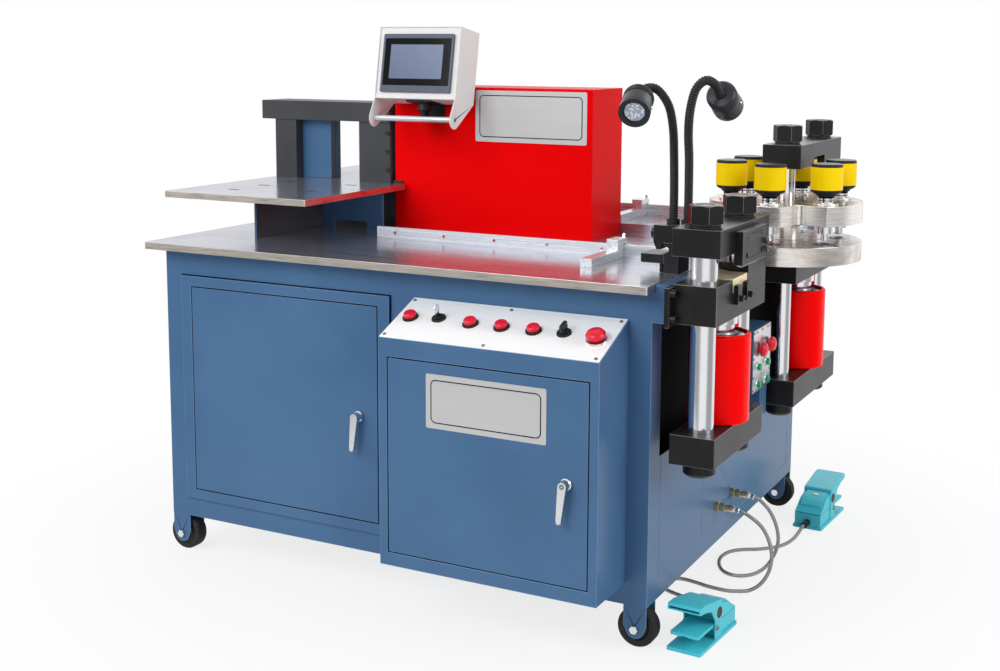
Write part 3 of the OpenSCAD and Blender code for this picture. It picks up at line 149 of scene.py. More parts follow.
class Tree:
    """A node tree, whose nodes all come from one method."""

    def __init__(self, tree):
        self.tree = tree

    def link(self, value, socket):
        """Link a socket to a value, or set it to a number, colour or vector."""
        if isinstance(value, Value):
            self.tree.links.new(value.socket, socket)
        else:
            socket.default_value = value

    def node(self, kind, settings=None, inputs=None, output=0):
        """Any node: its type, its settings, then the values or links of its sockets."""
        node = self.tree.nodes.new(kind)
        for key, value in (settings or {}).items():
            if key == "ends":
                for element, shade in zip(node.color_ramp.elements, value):
                    element.color = (*shade, 1.0)
            else:
                setattr(node, key, value)
        for key, value in (inputs or {}).items():
            self.link(value, node.inputs[key])
        return Value(self, node.outputs[output])

    def here(self):
        """Object coordinates."""
        return self.node("ShaderNodeTexCoord", output="Object")

    def place(self, scale=(1, 1, 1)):
        """Object coordinates, stretched."""
        return self.node("ShaderNodeMapping", None, {"Vector": self.here(), "Scale": scale})

    def axis(self, name, of=None):
        """One coordinate, X, Y or Z, of a vector or of the place itself."""
        return self.node("ShaderNodeSeparateXYZ", None, {0: of or self.here()}, output=name)

    def noise(self, scale, detail, rough=0.55, where=None, warp=0.0):
        return self.node("ShaderNodeTexNoise", None,
                         {"Vector": where or self.place(), "Scale": scale, "Detail": detail,
                          "Roughness": rough, "Distortion": warp})

    def cells(self, scale):
        return self.node("ShaderNodeTexVoronoi", None, {"Vector": self.place(), "Scale": scale})

    def ramp(self, value, low, high):
        """A colour between two, by a value from 0 to 1."""
        return self.node("ShaderNodeValToRGB", {"ends": (low, high)}, {"Fac": value})

    def blend(self, share, first, second):
        """One colour laid over another by share."""
        under, over = (value if isinstance(value, Value) else (*value, 1.0) for value in (first, second))
        return self.node("ShaderNodeMix", {"data_type": "RGBA"}, {0: share, 6: under, 7: over}, output=2)

    def bump(self, height, strength, depth):
        """Relief of a given depth in metres."""
        return self.node("ShaderNodeBump", None, {"Height": height, "Strength": strength, "Distance": depth})

    def ray(self, kind):
        """1 for rays of one kind, 0 for others."""
        return self.node("ShaderNodeLightPath", output="Is %s Ray" % kind)


class Finish(Tree):
    """One procedural material on a Principled shader."""

    def __init__(self, name, colour, rough, metal=0.0, **fixed):
        self.material = bpy.data.materials.new(name)
        self.material.use_nodes = True
        super().__init__(self.material.node_tree)
        self.shader = self.tree.nodes["Principled BSDF"]
        self.put("Base Color", (*colour, 1.0))
        self.put("Roughness", rough)
        self.put("Metallic", metal)
        for key, value in fixed.items():
            self.put(key.replace("_", " ").title().replace("Ior", "IOR"), value)

    def put(self, socket, value):
        self.link(value, self.shader.inputs[socket])


def paint(name, colour, rough, coat, tint, dusty=0.04, gloss=0.2):
    """Sprayed paint: orange peel, faint cloudiness, uneven sheen."""
    f = Finish(name, colour, rough, coat_roughness=0.12, coat_ior=1.3, specular_ior_level=gloss)
    cloud = f.noise(3.1, 4.0)
    fine = f.noise(420.0, 2.0)
    wide = f.noise(1.3, 2.0)
    dark = tuple(c * (1 - tint) for c in colour)
    light = tuple(min(1.0, c * (1 + tint) + dusty * 0.2) for c in colour)
    f.put("Base Color", f.blend(cloud.smooth(0.3, 0.7), dark, light))
    f.put("Roughness", rough + (cloud - 0.5) * 0.12 + (fine - 0.5) * 0.05)
    f.put("Coat Weight", coat * (0.7 + wide * 0.6))
    f.put("Normal", f.bump(fine + cloud * 0.6, 0.056, 0.0006))
    return f


def brushed(name, colour, along, rough, grain, cloud=0.05, shade=None, metal=1.0):
    """Ground or brushed metal: fine lines along one axis, faint stains."""
    f = Finish(name, colour, rough, metal, specular_ior_level=0.3)
    lines = f.noise(1.0, 3.0, 0.65, where=f.place(scale=along))
    long_lines = f.noise(0.35, 2.0, 0.5, where=f.place(scale=along))
    stain = f.noise(4.2, 5.0, 0.6, warp=0.6)
    low = tuple(c * (1 - grain * 0.35) for c in colour)
    streaks = (lines * 0.4 + long_lines * 0.6).smooth(0.3, 0.7)
    tone = f.blend(streaks, low, colour)
    f.put("Base Color", f.blend(stain.smooth(0.45, 0.75) * cloud * 6, tone, shade or low))
    f.put("Roughness", rough - 0.08 + streaks * 0.14 + (stain - 0.5) * 0.14)
    f.put("Normal", f.bump(lines, 0.12, 0.0003))
    return f


def turned_metal(name, colour, rough, sheen=0.1):
    """Turned and polished metal: fine rings along Z."""
    f = Finish(name, colour, rough, 1.0)
    rings = f.noise(1.0, 2.0, 0.6, where=f.place(scale=(4, 4, 900)))
    smear = f.noise(7.0, 4.0, warp=0.8)
    f.put("Base Color", f.blend(smear.smooth(0.4, 0.8) * 0.25, colour, tuple(c * 0.8 for c in colour)))
    f.put("Roughness", rough + rings * 0.06 + (smear - 0.5) * sheen)
    f.put("Normal", f.bump(rings, 0.08, 0.0002))
    return f


# A punch's neck, by height in metres: a dark groove, and the wiper above it
GROOVE = (1.0465, 1.0485)
WIPER = 1.0535


def punch_neck(name):
    """Turned steel neck with a groove and a black wiper."""
    steel = (0.74, 0.75, 0.77)
    f = turned_metal(name, steel, 0.14)
    z = f.axis("Z")
    dark = (z > WIPER) + (z > GROOVE[0]) * (1 - (z > GROOVE[1]))
    f.put("Base Color", f.blend(dark, steel, (0.012, 0.012, 0.013)))
    return f


def black_oxide(name, colour=(0.009, 0.009, 0.0095), rough=0.36, bloomed=(0.017, 0.0165, 0.016)):
    """Machined steel blackened in a bath: milled lines and a faint oily bloom."""
    f = Finish(name, colour, rough, 0.0, specular_ior_level=0.22)
    mill = f.noise(1.0, 2.0, 0.5, where=f.place(scale=(60, 60, 700)))
    bloom = f.noise(9.0, 5.0, 0.6, warp=0.5)
    f.put("Base Color", f.blend(bloom.smooth(0.35, 0.75), colour, bloomed))
    f.put("Roughness", rough - 0.06 + mill * 0.1 + (bloom - 0.5) * 0.18)
    f.put("Normal", f.bump(mill + bloom * 0.4, 0.1, 0.0004))
    return f


def plastic(name, colour, rough, grain=0.15, coat=0.0):
    """Moulded plastic: fine eroded grain."""
    f = Finish(name, colour, rough, coat_weight=coat, coat_roughness=0.08, coat_ior=1.35,
               specular_ior_level=0.25)
    pits = f.noise(900.0, 2.0)
    cloud = f.noise(20.0, 3.0)
    f.put("Base Color", f.blend(cloud.smooth(0.35, 0.7), tuple(c * 0.93 for c in colour), colour))
    f.put("Roughness", rough + (pits - 0.5) * 0.1 + (cloud - 0.5) * 0.08)
    f.put("Normal", f.bump(pits, grain * 0.4, 0.0002))
    return f


def cast_enamel(name, colour, rough):
    """Enamel on a die casting: soft lumps under a semi-gloss coat, dirt in the hollows."""
    f = Finish(name, colour, rough, coat_weight=0.1, coat_roughness=0.25, coat_ior=1.35,
               specular_ior_level=0.25)
    lumps = f.noise(160.0, 3.0)
    dirt = f.noise(26.0, 5.0, 0.65)
    f.put("Base Color", f.blend(dirt.smooth(0.55, 0.8) * 0.35, colour, tuple(c * 0.55 for c in colour)))
    f.put("Roughness", rough + (lumps - 0.5) * 0.15 + dirt * 0.08)
    f.put("Normal", f.bump(lumps, 0.25, 0.0006))
    return f


def rubber(name):
    """Grey-black tread rubber with grit and dust."""
    f = Finish(name, (0.014, 0.014, 0.015), 0.72, specular_ior_level=0.25)
    grit = f.noise(300.0, 3.0)
    dust = f.noise(18.0, 5.0)
    f.put("Base Color", f.blend(dust.smooth(0.5, 0.8) * 0.5, (0.018, 0.018, 0.019), (0.07, 0.066, 0.06)))
    f.put("Roughness", 0.62 + grit * 0.2)
    f.put("Normal", f.bump(grit, 0.3, 0.0006))
    return f


def braid(name):
    """Woven steel sleeve on a hose, from the tube's own UV map."""
    strands, twist = 8, 2600.0
    f = Finish(name, (0.42, 0.41, 0.4), 0.38, 0.8)
    uv = f.node("ShaderNodeTexCoord", output="UV")
    around, onward = f.axis("X", uv) * (strands * 2 * pi), f.axis("Y", uv) * twist
    weave = ((around + onward).sine() * (around - onward).sine()).absolute()
    f.put("Base Color", f.blend(weave, (0.13, 0.128, 0.125), (0.56, 0.55, 0.54)))
    f.put("Roughness", 0.3 + (1 - weave) * 0.3)
    f.put("Normal", f.bump(weave, 0.6, 0.0006))
    return f


blue = paint("blue_paint", (0.056, 0.136, 0.268), rough=0.34, coat=0.15, tint=0.05)
# Lighter blue for the eased edges of the blue paint: a painted highlight.
blue_highlight_edge = paint("blue_highlight_edge", (0.13, 0.235, 0.4), rough=0.3, coat=0.2, tint=0.1)
red = paint("red_gloss", (0.82, 0.001, 0.002), rough=0.28, coat=0.04, tint=0.03, dusty=0.0, gloss=0.02)
cylinder_red = paint("cylinder_red", (1.0, 0.001, 0.001), rough=0.22, coat=0.12, tint=0.02, dusty=0.0,
                     gloss=0.04)
white = paint("white_satin", (0.77, 0.76, 0.755), rough=0.4, coat=0.05, tint=0.02)
slate = paint("slate_paint", (0.045, 0.047, 0.053), rough=0.42, coat=0.05, tint=0.12)
panel_silver = brushed("panel_silver", (0.98, 0.99, 1.0), along=(8, 900, 900), rough=0.4, grain=0.1,
                       cloud=0.02, metal=0.2)
# The blue-lavender tone of the ground steel and of its stains is a painted reflection of the blue paint round the
# table.
ground_steel = brushed("ground_steel", (0.5, 0.52, 0.6), along=(9, 620, 620), rough=0.2, grain=0.5, cloud=0.1,
                       shade=(0.34, 0.37, 0.5), metal=0.8)
sawn_edge = brushed("sawn_edge", (0.66, 0.61, 0.55), along=(40, 40, 900), rough=0.34, grain=0.4, cloud=0.08)
bar_steel = brushed("bright_bar", (0.72, 0.74, 0.78), along=(9, 700, 700), rough=0.24, grain=0.25,
                    metal=0.6)
disc_steel = brushed("disc_steel", (0.93, 0.9, 0.87), along=(60, 60, 900), rough=0.22, grain=0.5, cloud=0.14,
                     shade=(0.46, 0.36, 0.29), metal=0.75)
# Top faces of the discs: darker brown brushed steel, painted shade and a painted bronze reflection.
disc_top_shade_reflection = brushed("disc_top_shade_reflection", (0.5, 0.44, 0.4), along=(60, 60, 60), rough=0.28, grain=0.6, cloud=0.16,
                    shade=(0.17, 0.13, 0.11), metal=0.9)
neck = punch_neck("punch_neck")
die_steel = brushed("die_steel", (0.88, 0.84, 0.8), along=(60, 60, 900), rough=0.2, grain=0.5, cloud=0.16,
                    shade=(0.3, 0.23, 0.19), metal=0.8)
aluminium = brushed("milled_aluminium", (0.76, 0.77, 0.8), along=(400, 30, 400), rough=0.28, grain=0.25,
                    metal=0.6)
chrome = turned_metal("hard_chrome", (0.8, 0.81, 0.84), 0.1)
satin_chrome = turned_metal("satin_chrome", (0.72, 0.73, 0.75), 0.2)
dark_steel = turned_metal("dark_steel", (0.2, 0.2, 0.21), 0.3, sheen=0.2)
brass = turned_metal("brass", (0.66, 0.5, 0.3), 0.24, sheen=0.25)
gold_brass = brushed("ground_brass", (0.95, 0.82, 0.5), along=(30, 500, 500), rough=0.36, grain=0.25,
                     cloud=0.06, metal=0.5)
oxide = black_oxide("black_oxide")
# Lighter black oxide for the eased edges: partly rubbed wear, partly a painted highlight.
wear_and_highlight_edge = black_oxide("wear_and_highlight_edge", (0.16, 0.16, 0.165), 0.34, (0.23, 0.23, 0.23))
black_paint = paint("black_satin", (0.013, 0.0155, 0.022), rough=0.34, coat=0.2, tint=0.15)
# Near-black for the side recess, the door gaps and the slot walls: painted shade.
painted_shade_black = paint("painted_shade_black", (0.002, 0.002, 0.0022), rough=0.7, coat=0.0, tint=0.2, gloss=0.02)
black_plastic = plastic("black_plastic", (0.014, 0.014, 0.015), 0.4)
crimson = plastic("crimson_cap", (0.74, 0.004, 0.03), 0.24, coat=0.4)
green = plastic("green_lens", (0.0, 0.33, 0.17), 0.18, coat=0.6)
yellow = paint("yellow_sleeve", (1.0, 0.68, 0.0), rough=0.34, coat=0.12, tint=0.03, dusty=0.0, gloss=0.1)
teal = cast_enamel("teal_enamel", (0.065, 0.57, 0.67), 0.4)
brown = plastic("brown_seal", (0.045, 0.016, 0.008), 0.5, grain=0.5)
tyre = rubber("tyre_rubber")
hub_grey = plastic("wheel_hub", (0.03, 0.03, 0.032), 0.42)
braided = braid("braided_hose")
label_plate = brushed("bare_plate", (0.56, 0.555, 0.56), along=(6, 700, 700), rough=0.42, grain=0.12,
                      cloud=0.02, metal=0.3)
face_plate = brushed("face_plate", (0.82, 0.83, 0.84), along=(300, 300, 12), rough=0.36, grain=0.2)
ink = plastic("black_ink", (0.012, 0.012, 0.013), 0.45)
bezel_slate = plastic("bezel_slate", (0.085, 0.105, 0.145), 0.34)


def screen_glass():
    """Dark glass with the soft grey-blue of a plain, unlit display, lighter towards the top and the right: a painted
    reflection.
    """
    f = Finish("screen_glass", (0.16, 0.2, 0.28), 0.16, specular_ior_level=0.2)
    fade = f.axis("Z") * 2.2 + f.axis("X") * 0.9 + f.noise(6.0, 2.0) * 0.12
    f.put("Base Color", f.ramp(fade.smooth(2.55, 3.25), (0.13, 0.165, 0.26), (0.21, 0.26, 0.37)))
    f.put("Roughness", 0.14 + f.noise(60.0, 2.0) * 0.06)
    return f


def dark_glass():
    """The black border round the display."""
    f = Finish("black_glass", (0.003, 0.003, 0.004), 0.1, specular_ior_level=0.12)
    f.put("Roughness", 0.08 + f.noise(40.0, 3.0) * 0.06)
    return f


def lens_glass():
    """Frosted lens over small lamps."""
    f = Finish("lamp_lens", (0.7, 0.73, 0.76), 0.2, coat_weight=0.8, coat_roughness=0.04)
    spots = f.cells(150.0)
    f.put("Base Color", f.ramp(spots.smooth(0.1, 0.6), (0.95, 0.97, 1.0), (0.3, 0.36, 0.48)))
    f.put("Roughness", 0.12 + f.noise(80.0, 2.0) * 0.12)
    return f


display = screen_glass()
black_glass = dark_glass()
lens = lens_glass()

# ---------------------------------------------------------------- mesh helpers


def nothing_selected():
    if bpy.context.object and bpy.context.object.mode != "OBJECT":
        bpy.ops.object.mode_set(mode="OBJECT")
    bpy.ops.object.select_all(action="DESELECT")


def take(piece):
    """Make a piece the only one selected."""
    nothing_selected()
    piece.select_set(True)
    bpy.context.view_layer.objects.active = piece


def settle(piece):
    """Leave a piece's place in its mesh, its object at the origin."""
    piece.data.transform(piece.matrix_world)
    piece.matrix_world = Matrix.Identity(4)


def modify(piece, kind, **settings):
    take(piece)
    modifier = piece.modifiers.new(kind.lower(), kind)
    for key, value in settings.items():
        setattr(modifier, key, value)
    bpy.ops.object.modifier_apply(modifier=modifier.name)


def done(piece, name, body, finish, angle=35):
    """Name a finished piece, give it its finish and its body."""
    settle(piece)
    piece.name = name
    piece.data.name = name
    piece.data.materials.clear()
    piece.data.materials.append(finish.material)
    take(piece)
    bpy.ops.object.shade_smooth_by_angle(angle=radians(angle))
    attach(piece, body)
    return piece


SHARP = 32  # degrees between two faces, from which their edge is rounded
SOFT = 40  # degrees up to which shading runs on over an edge


def even_normals(piece):
    """Smooth shading in which flat faces stay flat: a corner follows the widest of the faces it blends."""
    mesh = bmesh.new()
    mesh.from_mesh(piece.data)
    mesh.faces.ensure_lookup_table()
    flat_of, areas = {}, []
    for seed in mesh.faces:
        if seed in flat_of:
            continue
        flat, pile, area = len(areas), [seed], 0.0
        flat_of[seed] = flat
        while pile:
            face = pile.pop()
            area += face.calc_area()
            for edge in face.edges:
                for other in edge.link_faces:
                    if other not in flat_of and other.normal.dot(seed.normal) > 0.99998:
                        flat_of[other] = flat
                        pile.append(other)
        areas.append(area)
    blend = cos(radians(SOFT))
    normals = []
    for face in mesh.faces:
        for loop in face.loops:
            fan, pile = {face}, [face]
            while pile:
                one = pile.pop()
                for edge in loop.vert.link_edges:
                    if one in edge.link_faces:
                        for other in edge.link_faces:
                            if other not in fan and other.normal.dot(one.normal) > blend:
                                fan.add(other)
                                pile.append(other)
            total = Vector()
            for flat in {flat_of[other] for other in fan}:
                some = next(other for other in fan if flat_of[other] == flat)
                total += some.normal * areas[flat]
            normals.append(total.normalized() if total.length > 0 else face.normal.copy())
    mesh.free()
    piece.data.polygons.foreach_set("use_smooth", [True] * len(piece.data.polygons))
    piece.data.normals_split_custom_set(normals)


def ease(piece, bevel, edge_index):
    """Round the sharp outward edges a little and keep the flat faces flat."""
    mesh = bmesh.new()
    mesh.from_mesh(piece.data)
    weight = mesh.edges.layers.float.new("bevel_weight_edge")
    for edge in mesh.edges:
        if len(edge.link_faces) == 2 and edge.calc_face_angle_signed() > radians(SHARP):
            edge[weight] = 1.0
    mesh.to_mesh(piece.data)
    mesh.free()
    modify(piece, "BEVEL", width=bevel * MM, segments=2, limit_method="WEIGHT", use_clamp_overlap=False,
           material=edge_index)
    even_normals(piece)


def dress(node, body, finish, bevel, places=(), edge=None):
    """A copy of a CAD node with its edges eased by bevel, in millimetres. Its finish may differ by place, which
    is a test of a face's middle in the drawing and its normal, and on its eased edges."""
    piece = nodes[node].copy()
    piece.data = nodes[node].data.copy()
    bpy.context.scene.collection.objects.link(piece)
    piece.parent = None
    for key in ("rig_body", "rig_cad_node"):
        if key in piece:
            del piece[key]
    take(piece)
    bpy.ops.object.mode_set(mode="EDIT")
    bpy.ops.mesh.select_all(action="SELECT")
    bpy.ops.mesh.remove_doubles(threshold=0.000004)
    bpy.ops.object.mode_set(mode="OBJECT")
    piece.data.materials.clear()
    for f in (finish, edge or finish, *(place[0] for place in places)):
        piece.data.materials.append(f.material)
    for face in piece.data.polygons:
        face.material_index = 0
    ease(piece, bevel, 1 if edge else -1)
    for number, (_, inside) in enumerate(places, 2):
        for face in piece.data.polygons:
            if inside(drawn(face.center), face.normal):
                face.material_index = number
    piece.name = node + "_dressed"
    piece.data.name = piece.name
    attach(piece, body)
    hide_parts(node)
    return piece


def coat(node, finish):
    """Give a CAD node its finish."""
    nodes[node].data.materials.clear()
    nodes[node].data.materials.append(finish.material)


def bored(piece, holes):
    """Round holes through a plate: middle, aim and diameter of each, in metres."""
    for middle, aim, d in holes:
        nothing_selected()
        bpy.ops.mesh.primitive_cylinder_add(vertices=40, radius=d / 2, depth=0.02)
        tool = bpy.context.object
        way = Vector(aim).to_track_quat("Z", "Y").to_matrix().to_4x4()
        settle(tool)
        tool.data.transform(Matrix.Translation(middle) @ way)
        modify(piece, "BOOLEAN", object=tool, operation="DIFFERENCE", solver="EXACT")
        bpy.data.objects.remove(tool)
    return piece


def turned(stations, sides, place=(0, 0, 0), aim=(0, 0, 1), open_ring=False):
    """A turned piece: a disc extruded from station to station (height, radius), aimed along a direction.
    An open ring has no middle: its last station is joined to its first."""
    nothing_selected()
    z0, r0 = stations[0]
    bpy.ops.mesh.primitive_circle_add(vertices=sides, radius=r0, fill_type="NOTHING" if open_ring else "NGON",
                                      location=(0, 0, z0))
    piece = bpy.context.object
    bpy.ops.object.mode_set(mode="EDIT")
    bpy.ops.mesh.select_all(action="SELECT")
    z, r = z0, r0
    for z1, r1 in stations[1:]:
        bpy.ops.mesh.extrude_region_move(TRANSFORM_OT_translate={"value": (0, 0, z1 - z)})
        if abs(r1 - r) > 1e-9:
            k = r1 / r
            bpy.ops.transform.resize(value=(k, k, 1), center_override=(0, 0, z1))
        z, r = z1, r1
    if open_ring:
        bpy.ops.mesh.select_all(action="DESELECT")
        bpy.ops.mesh.select_mode(type="EDGE")
        bpy.ops.mesh.select_non_manifold()
        bpy.ops.mesh.bridge_edge_loops()
    bpy.ops.mesh.select_all(action="SELECT")
    bpy.ops.mesh.normals_make_consistent(inside=False)
    bpy.ops.object.mode_set(mode="OBJECT")
    way = Vector(aim).normalized().to_track_quat("Z", "Y").to_matrix().to_4x4()
    settle(piece)
    piece.data.transform(Matrix.Translation(Vector(place)) @ way)
    return piece


def slab(size, place=(0, 0, 0), corner=0.0, edge=0.0):
    """A flat plate: a cube of that size whose upright corners or whose rims are rounded."""
    nothing_selected()
    bpy.ops.mesh.primitive_cube_add(size=1)
    piece = bpy.context.object
    piece.data.transform(Matrix.Diagonal((*size, 1)))
    if corner:
        bpy.ops.object.mode_set(mode="EDIT")
        bpy.ops.mesh.select_mode(type="EDGE")
        bpy.ops.mesh.select_all(action="DESELECT")
        mesh = bmesh.from_edit_mesh(piece.data)
        for side in mesh.edges:
            side.select = abs(side.verts[0].co.z - side.verts[1].co.z) > size[2] / 2
        mesh.select_flush_mode()
        bmesh.update_edit_mesh(piece.data)
        bpy.ops.mesh.bevel(offset=corner, segments=6, affect="EDGES")
        bpy.ops.object.mode_set(mode="OBJECT")
    if edge:
        modify(piece, "BEVEL", width=edge, segments=2, limit_method="ANGLE", angle_limit=radians(50))
    piece.data.transform(Matrix.Translation(Vector(place)))
    return piece


def join(pieces):
    """Several pieces as one mesh."""
    nothing_selected()
    for piece in pieces:
        piece.select_set(True)
    bpy.context.view_layer.objects.active = pieces[0]
    bpy.ops.object.join()
    return bpy.context.object


def curve_points(route, steps):
    """A smooth line through a list of points, with that many steps to each stretch."""
    def pick(i):
        return route[max(0, min(len(route) - 1, i))]

    line = []
    for i in range(len(route) - 1):
        a, b, c, d = pick(i - 1), pick(i), pick(i + 1), pick(i + 2)
        for k in range(steps):
            t = k / steps
            line.append(0.5 * (2 * b + (c - a) * t + (2 * a - 5 * b + 4 * c - d) * t * t
                               + (3 * b - a - 3 * c + d) * t ** 3))
    return line + [route[-1]]


def tube(name, line, radius, sides=16):
    """A closed tube along a line, with a UV map: once round, and metres along. The radius may be a function
    of the metres along."""
    mesh = bmesh.new()
    uv = mesh.loops.layers.uv.new("UVMap")
    rings, far, lengths, across = [], 0.0, [0.0], None
    for i, here in enumerate(line):
        way = (line[min(i + 1, len(line) - 1)] - line[max(i - 1, 0)]).normalized()
        if across is None:
            across = way.cross(Vector((0.3, 0.5, 0.8))).normalized()
        across = (across - way * across.dot(way)).normalized()
        other = way.cross(across)
        if i:
            far += (here - line[i - 1]).length
            lengths.append(far)
        size = radius(far) if callable(radius) else radius
        spokes = [(cos(2 * pi * k / sides), sin(2 * pi * k / sides)) for k in range(sides)]
        rings.append([mesh.verts.new(here + size * (across * c + other * s)) for c, s in spokes])
    for i in range(len(rings) - 1):
        for k in range(sides):
            n = (k + 1) % sides
            face = mesh.faces.new((rings[i][k], rings[i][n], rings[i + 1][n], rings[i + 1][k]))
            for loop, u, v in zip(face.loops, (k, k + 1, k + 1, k), (i, i, i + 1, i + 1)):
                loop[uv].uv = (u / sides, lengths[v])
    mesh.faces.new(rings[0][::-1])
    mesh.faces.new(rings[-1])
    data = bpy.data.meshes.new(name)
    mesh.to_mesh(data)
    mesh.free()
    piece = bpy.data.objects.new(name, data)
    bpy.context.scene.collection.objects.link(piece)
    return piece


def length_of(line):
    return sum((b - a).length for a, b in zip(line, line[1:]))


# ---------------------------------------------------------------- hoses

HOSE_D = 0.010
HOSE_STEPS = 6

# Foot switches: the middle of the open edge in the drawing, and the turn about the upright in degrees
FEET = {"foot_front": ((815, 31.5), -4), "foot_rear": ((857, 1259), 177)}


def foot_point(name, side, far, height):
    """A point of a foot switch: to its side, behind its open edge, and above the floor, in millimetres."""
    (x, y), turn = FEET[name]
    t = radians(turn)
    return at(x + side * cos(t) - far * sin(t), y + side * sin(t) + far * cos(t), height)


def route_of(points, foot):
    """A hose's way: x counted from the cabinet's side, and its last points on a foot switch's centre line."""
    return ([at(732 + x, y, z) for x, y, z in points]
            + [foot_point(foot, 0, 254 + out, 20) for out in (20, 10, 0)])


# The routes of the part's own hoses
HOSE_A = route_of((
    (52, 620, 217), (78, 620, 212), (108, 618, 190), (128, 620, 158), (138, 625, 120), (134, 640, 80),
    (120, 650, 42), (106, 636, 16), (88, 600, 5), (63, 564, 5), (28, 556, 5), (-4, 578, 5), (-28, 624, 5),
    (-37, 674, 5), (-27, 724, 5), (1, 756, 5), (36, 778, 5), (65, 806, 5), (87, 836, 5), (101, 881, 5),
    (107, 925, 8), (109.6, 962, 15.5)), "foot_rear")
HOSE_B = route_of((
    (52, 488, 217), (78, 486, 214), (108, 480, 203), (136, 474, 186), (156, 470, 158), (166, 470, 124),
    (166, 470, 90), (156, 470, 56), (136, 468, 26), (110, 464, 8), (83, 452, 5), (53, 442, 5), (3, 446, 5),
    (-42, 458, 5), (-82, 462, 5), (-116, 440, 5), (-117, 400, 5), (-87, 370, 5), (-42, 352, 5), (8, 338, 5),
    (38, 338.5, 6), (61.6, 338, 9), (81.6, 332.6, 13), (96.2, 318, 17.5)), "foot_front")


def hose(name, route):
    """A braided hose in place of the part's own."""
    line = curve_points(route, HOSE_STEPS)
    piece = done(tube(name, line, HOSE_D / 2), name + "_braided", "machine", braided, 60)
    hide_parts(name)
    length_of(line)


hose("hose_a", HOSE_A)
hose("hose_b", HOSE_B)

# ---------------------------------------------------------------- finishes on the model's own nodes


def off_axis(p, axes):
    """How far a point lies from the nearest of some upright axes (x, y)."""
    return min(((p.x - x) ** 2 + (p.y - y) ** 2) ** 0.5 for x, y in axes)


# Axes of the presses' cylinders and of their rods. The turret turns about the punch's front rod.
PRESS_X, SHEAR_Y, HUB_Y, PUNCH_Y = 837.5, 178.0, 707.0, 870.0
SHEAR_PITCH, PUNCH_PITCH = 250, 326
PRESSES = ((PRESS_X, SHEAR_Y), (PRESS_X, PUNCH_Y))
SHEAR_RODS = ((PRESS_X, SHEAR_Y - SHEAR_PITCH / 2), (PRESS_X, SHEAR_Y + SHEAR_PITCH / 2))
PUNCH_RODS = ((PRESS_X, HUB_Y), (PRESS_X, HUB_Y + PUNCH_PITCH))

# Wheels: x of their middles, and the height of the axles
WHEELS = {"wheel_fl": -701, "wheel_fr": 701, "wheel_rl": -701, "wheel_rr": 701}
AXLE_Z, HUB_R = 50, 36

# Frames of the sloped panel and of the tilted screen, and what lies on the panel: x and the way up the slope
RISE, RUN = 70, 169
PANEL = Matrix.Translation(at(0, -169, 740)) @ Matrix.Rotation(atan2(RISE, RUN), 4, "X")
SCREEN = Matrix.Translation(at(-178.5, 433, 1295)) @ Matrix.Rotation(radians(-10), 4, "X")
ROW = (RISE ** 2 + RUN ** 2) ** 0.5 / 2
PANEL_X, PANEL_W = 84, 590
BUTTONS = [PANEL_X + PANEL_W * t for t in (0.0695, 0.3576, 0.5017, 0.6475)]
ESTOP = (PANEL_X + PANEL_W * 0.9305, ROW - 10)
KEY, LEVER = (PANEL_X + PANEL_W * 0.2, ROW + 8), (PANEL_X + PANEL_W * 0.7797, ROW + 4)
DIALS = [*((x, ROW) for x in BUTTONS), KEY, LEVER]
BEZEL_R = 30
PANEL_T = 2.4


def within(place, p):
    """A point of the drawing in one of those frames, in millimetres."""
    return place.inverted() @ ((p - CENTRE) * MM) / MM


def on(place, x, y, z):
    """A point of one of those frames, given in millimetres, as a point of the model."""
    return place @ (Vector((x, y, z)) * MM)


def off_foot(name, p):
    """How far a point lies behind a foot switch's open edge, and to its side."""
    (x, y), turn = FEET[name]
    way = Vector((-sin(radians(turn)), cos(radians(turn))))
    flat = Vector((p.x - x, p.y - y))
    return flat.dot(way), flat.x * way.y - flat.y * way.x


FAR = 1e5  # no limit


def inside(p, x=(-FAR, FAR), y=(-FAR, FAR), z=(-FAR, FAR)):
    """Between limits along each axis."""
    return x[0] < p.x < x[1] and y[0] < p.y < y[1] and z[0] < p.z < z[1]


# Door openings: their limits in the drawing, 0.2 mm past their walls
LEFT_OPENING = {"x": (-639.2, -22.8), "y": (-FAR, 12), "z": (192.8, 779.2)}
CONTROL_OPENING = {"x": (106.8, 651.2), "y": (-FAR, -148), "z": (194.8, 693.2)}


def in_gap(p, n, opening):
    """On the walls of a door's opening."""
    return abs(n.y) < 0.5 and inside(p, **opening)


# The tube between the screen's ears, in the screen's frame: half its length, its axis and its reach
BAR_L, BAR_Y, BAR_Z, BAR_R = 127, 8, -57, 14


def on_bar(p):
    """On the tube between the screen's ears."""
    q = within(SCREEN, p)
    return abs(q.x) < BAR_L and (q.y - BAR_Y) ** 2 + (q.z - BAR_Z) ** 2 < BAR_R ** 2


def on_rim(p, n):
    """On the upright edge of a plate that lies flat."""
    return abs(n.z) < 0.6


def in_slots(p):
    """Round the slots of the small plate, inside its outline."""
    return inside(p, x=(-760, -300), y=(45, 1190))


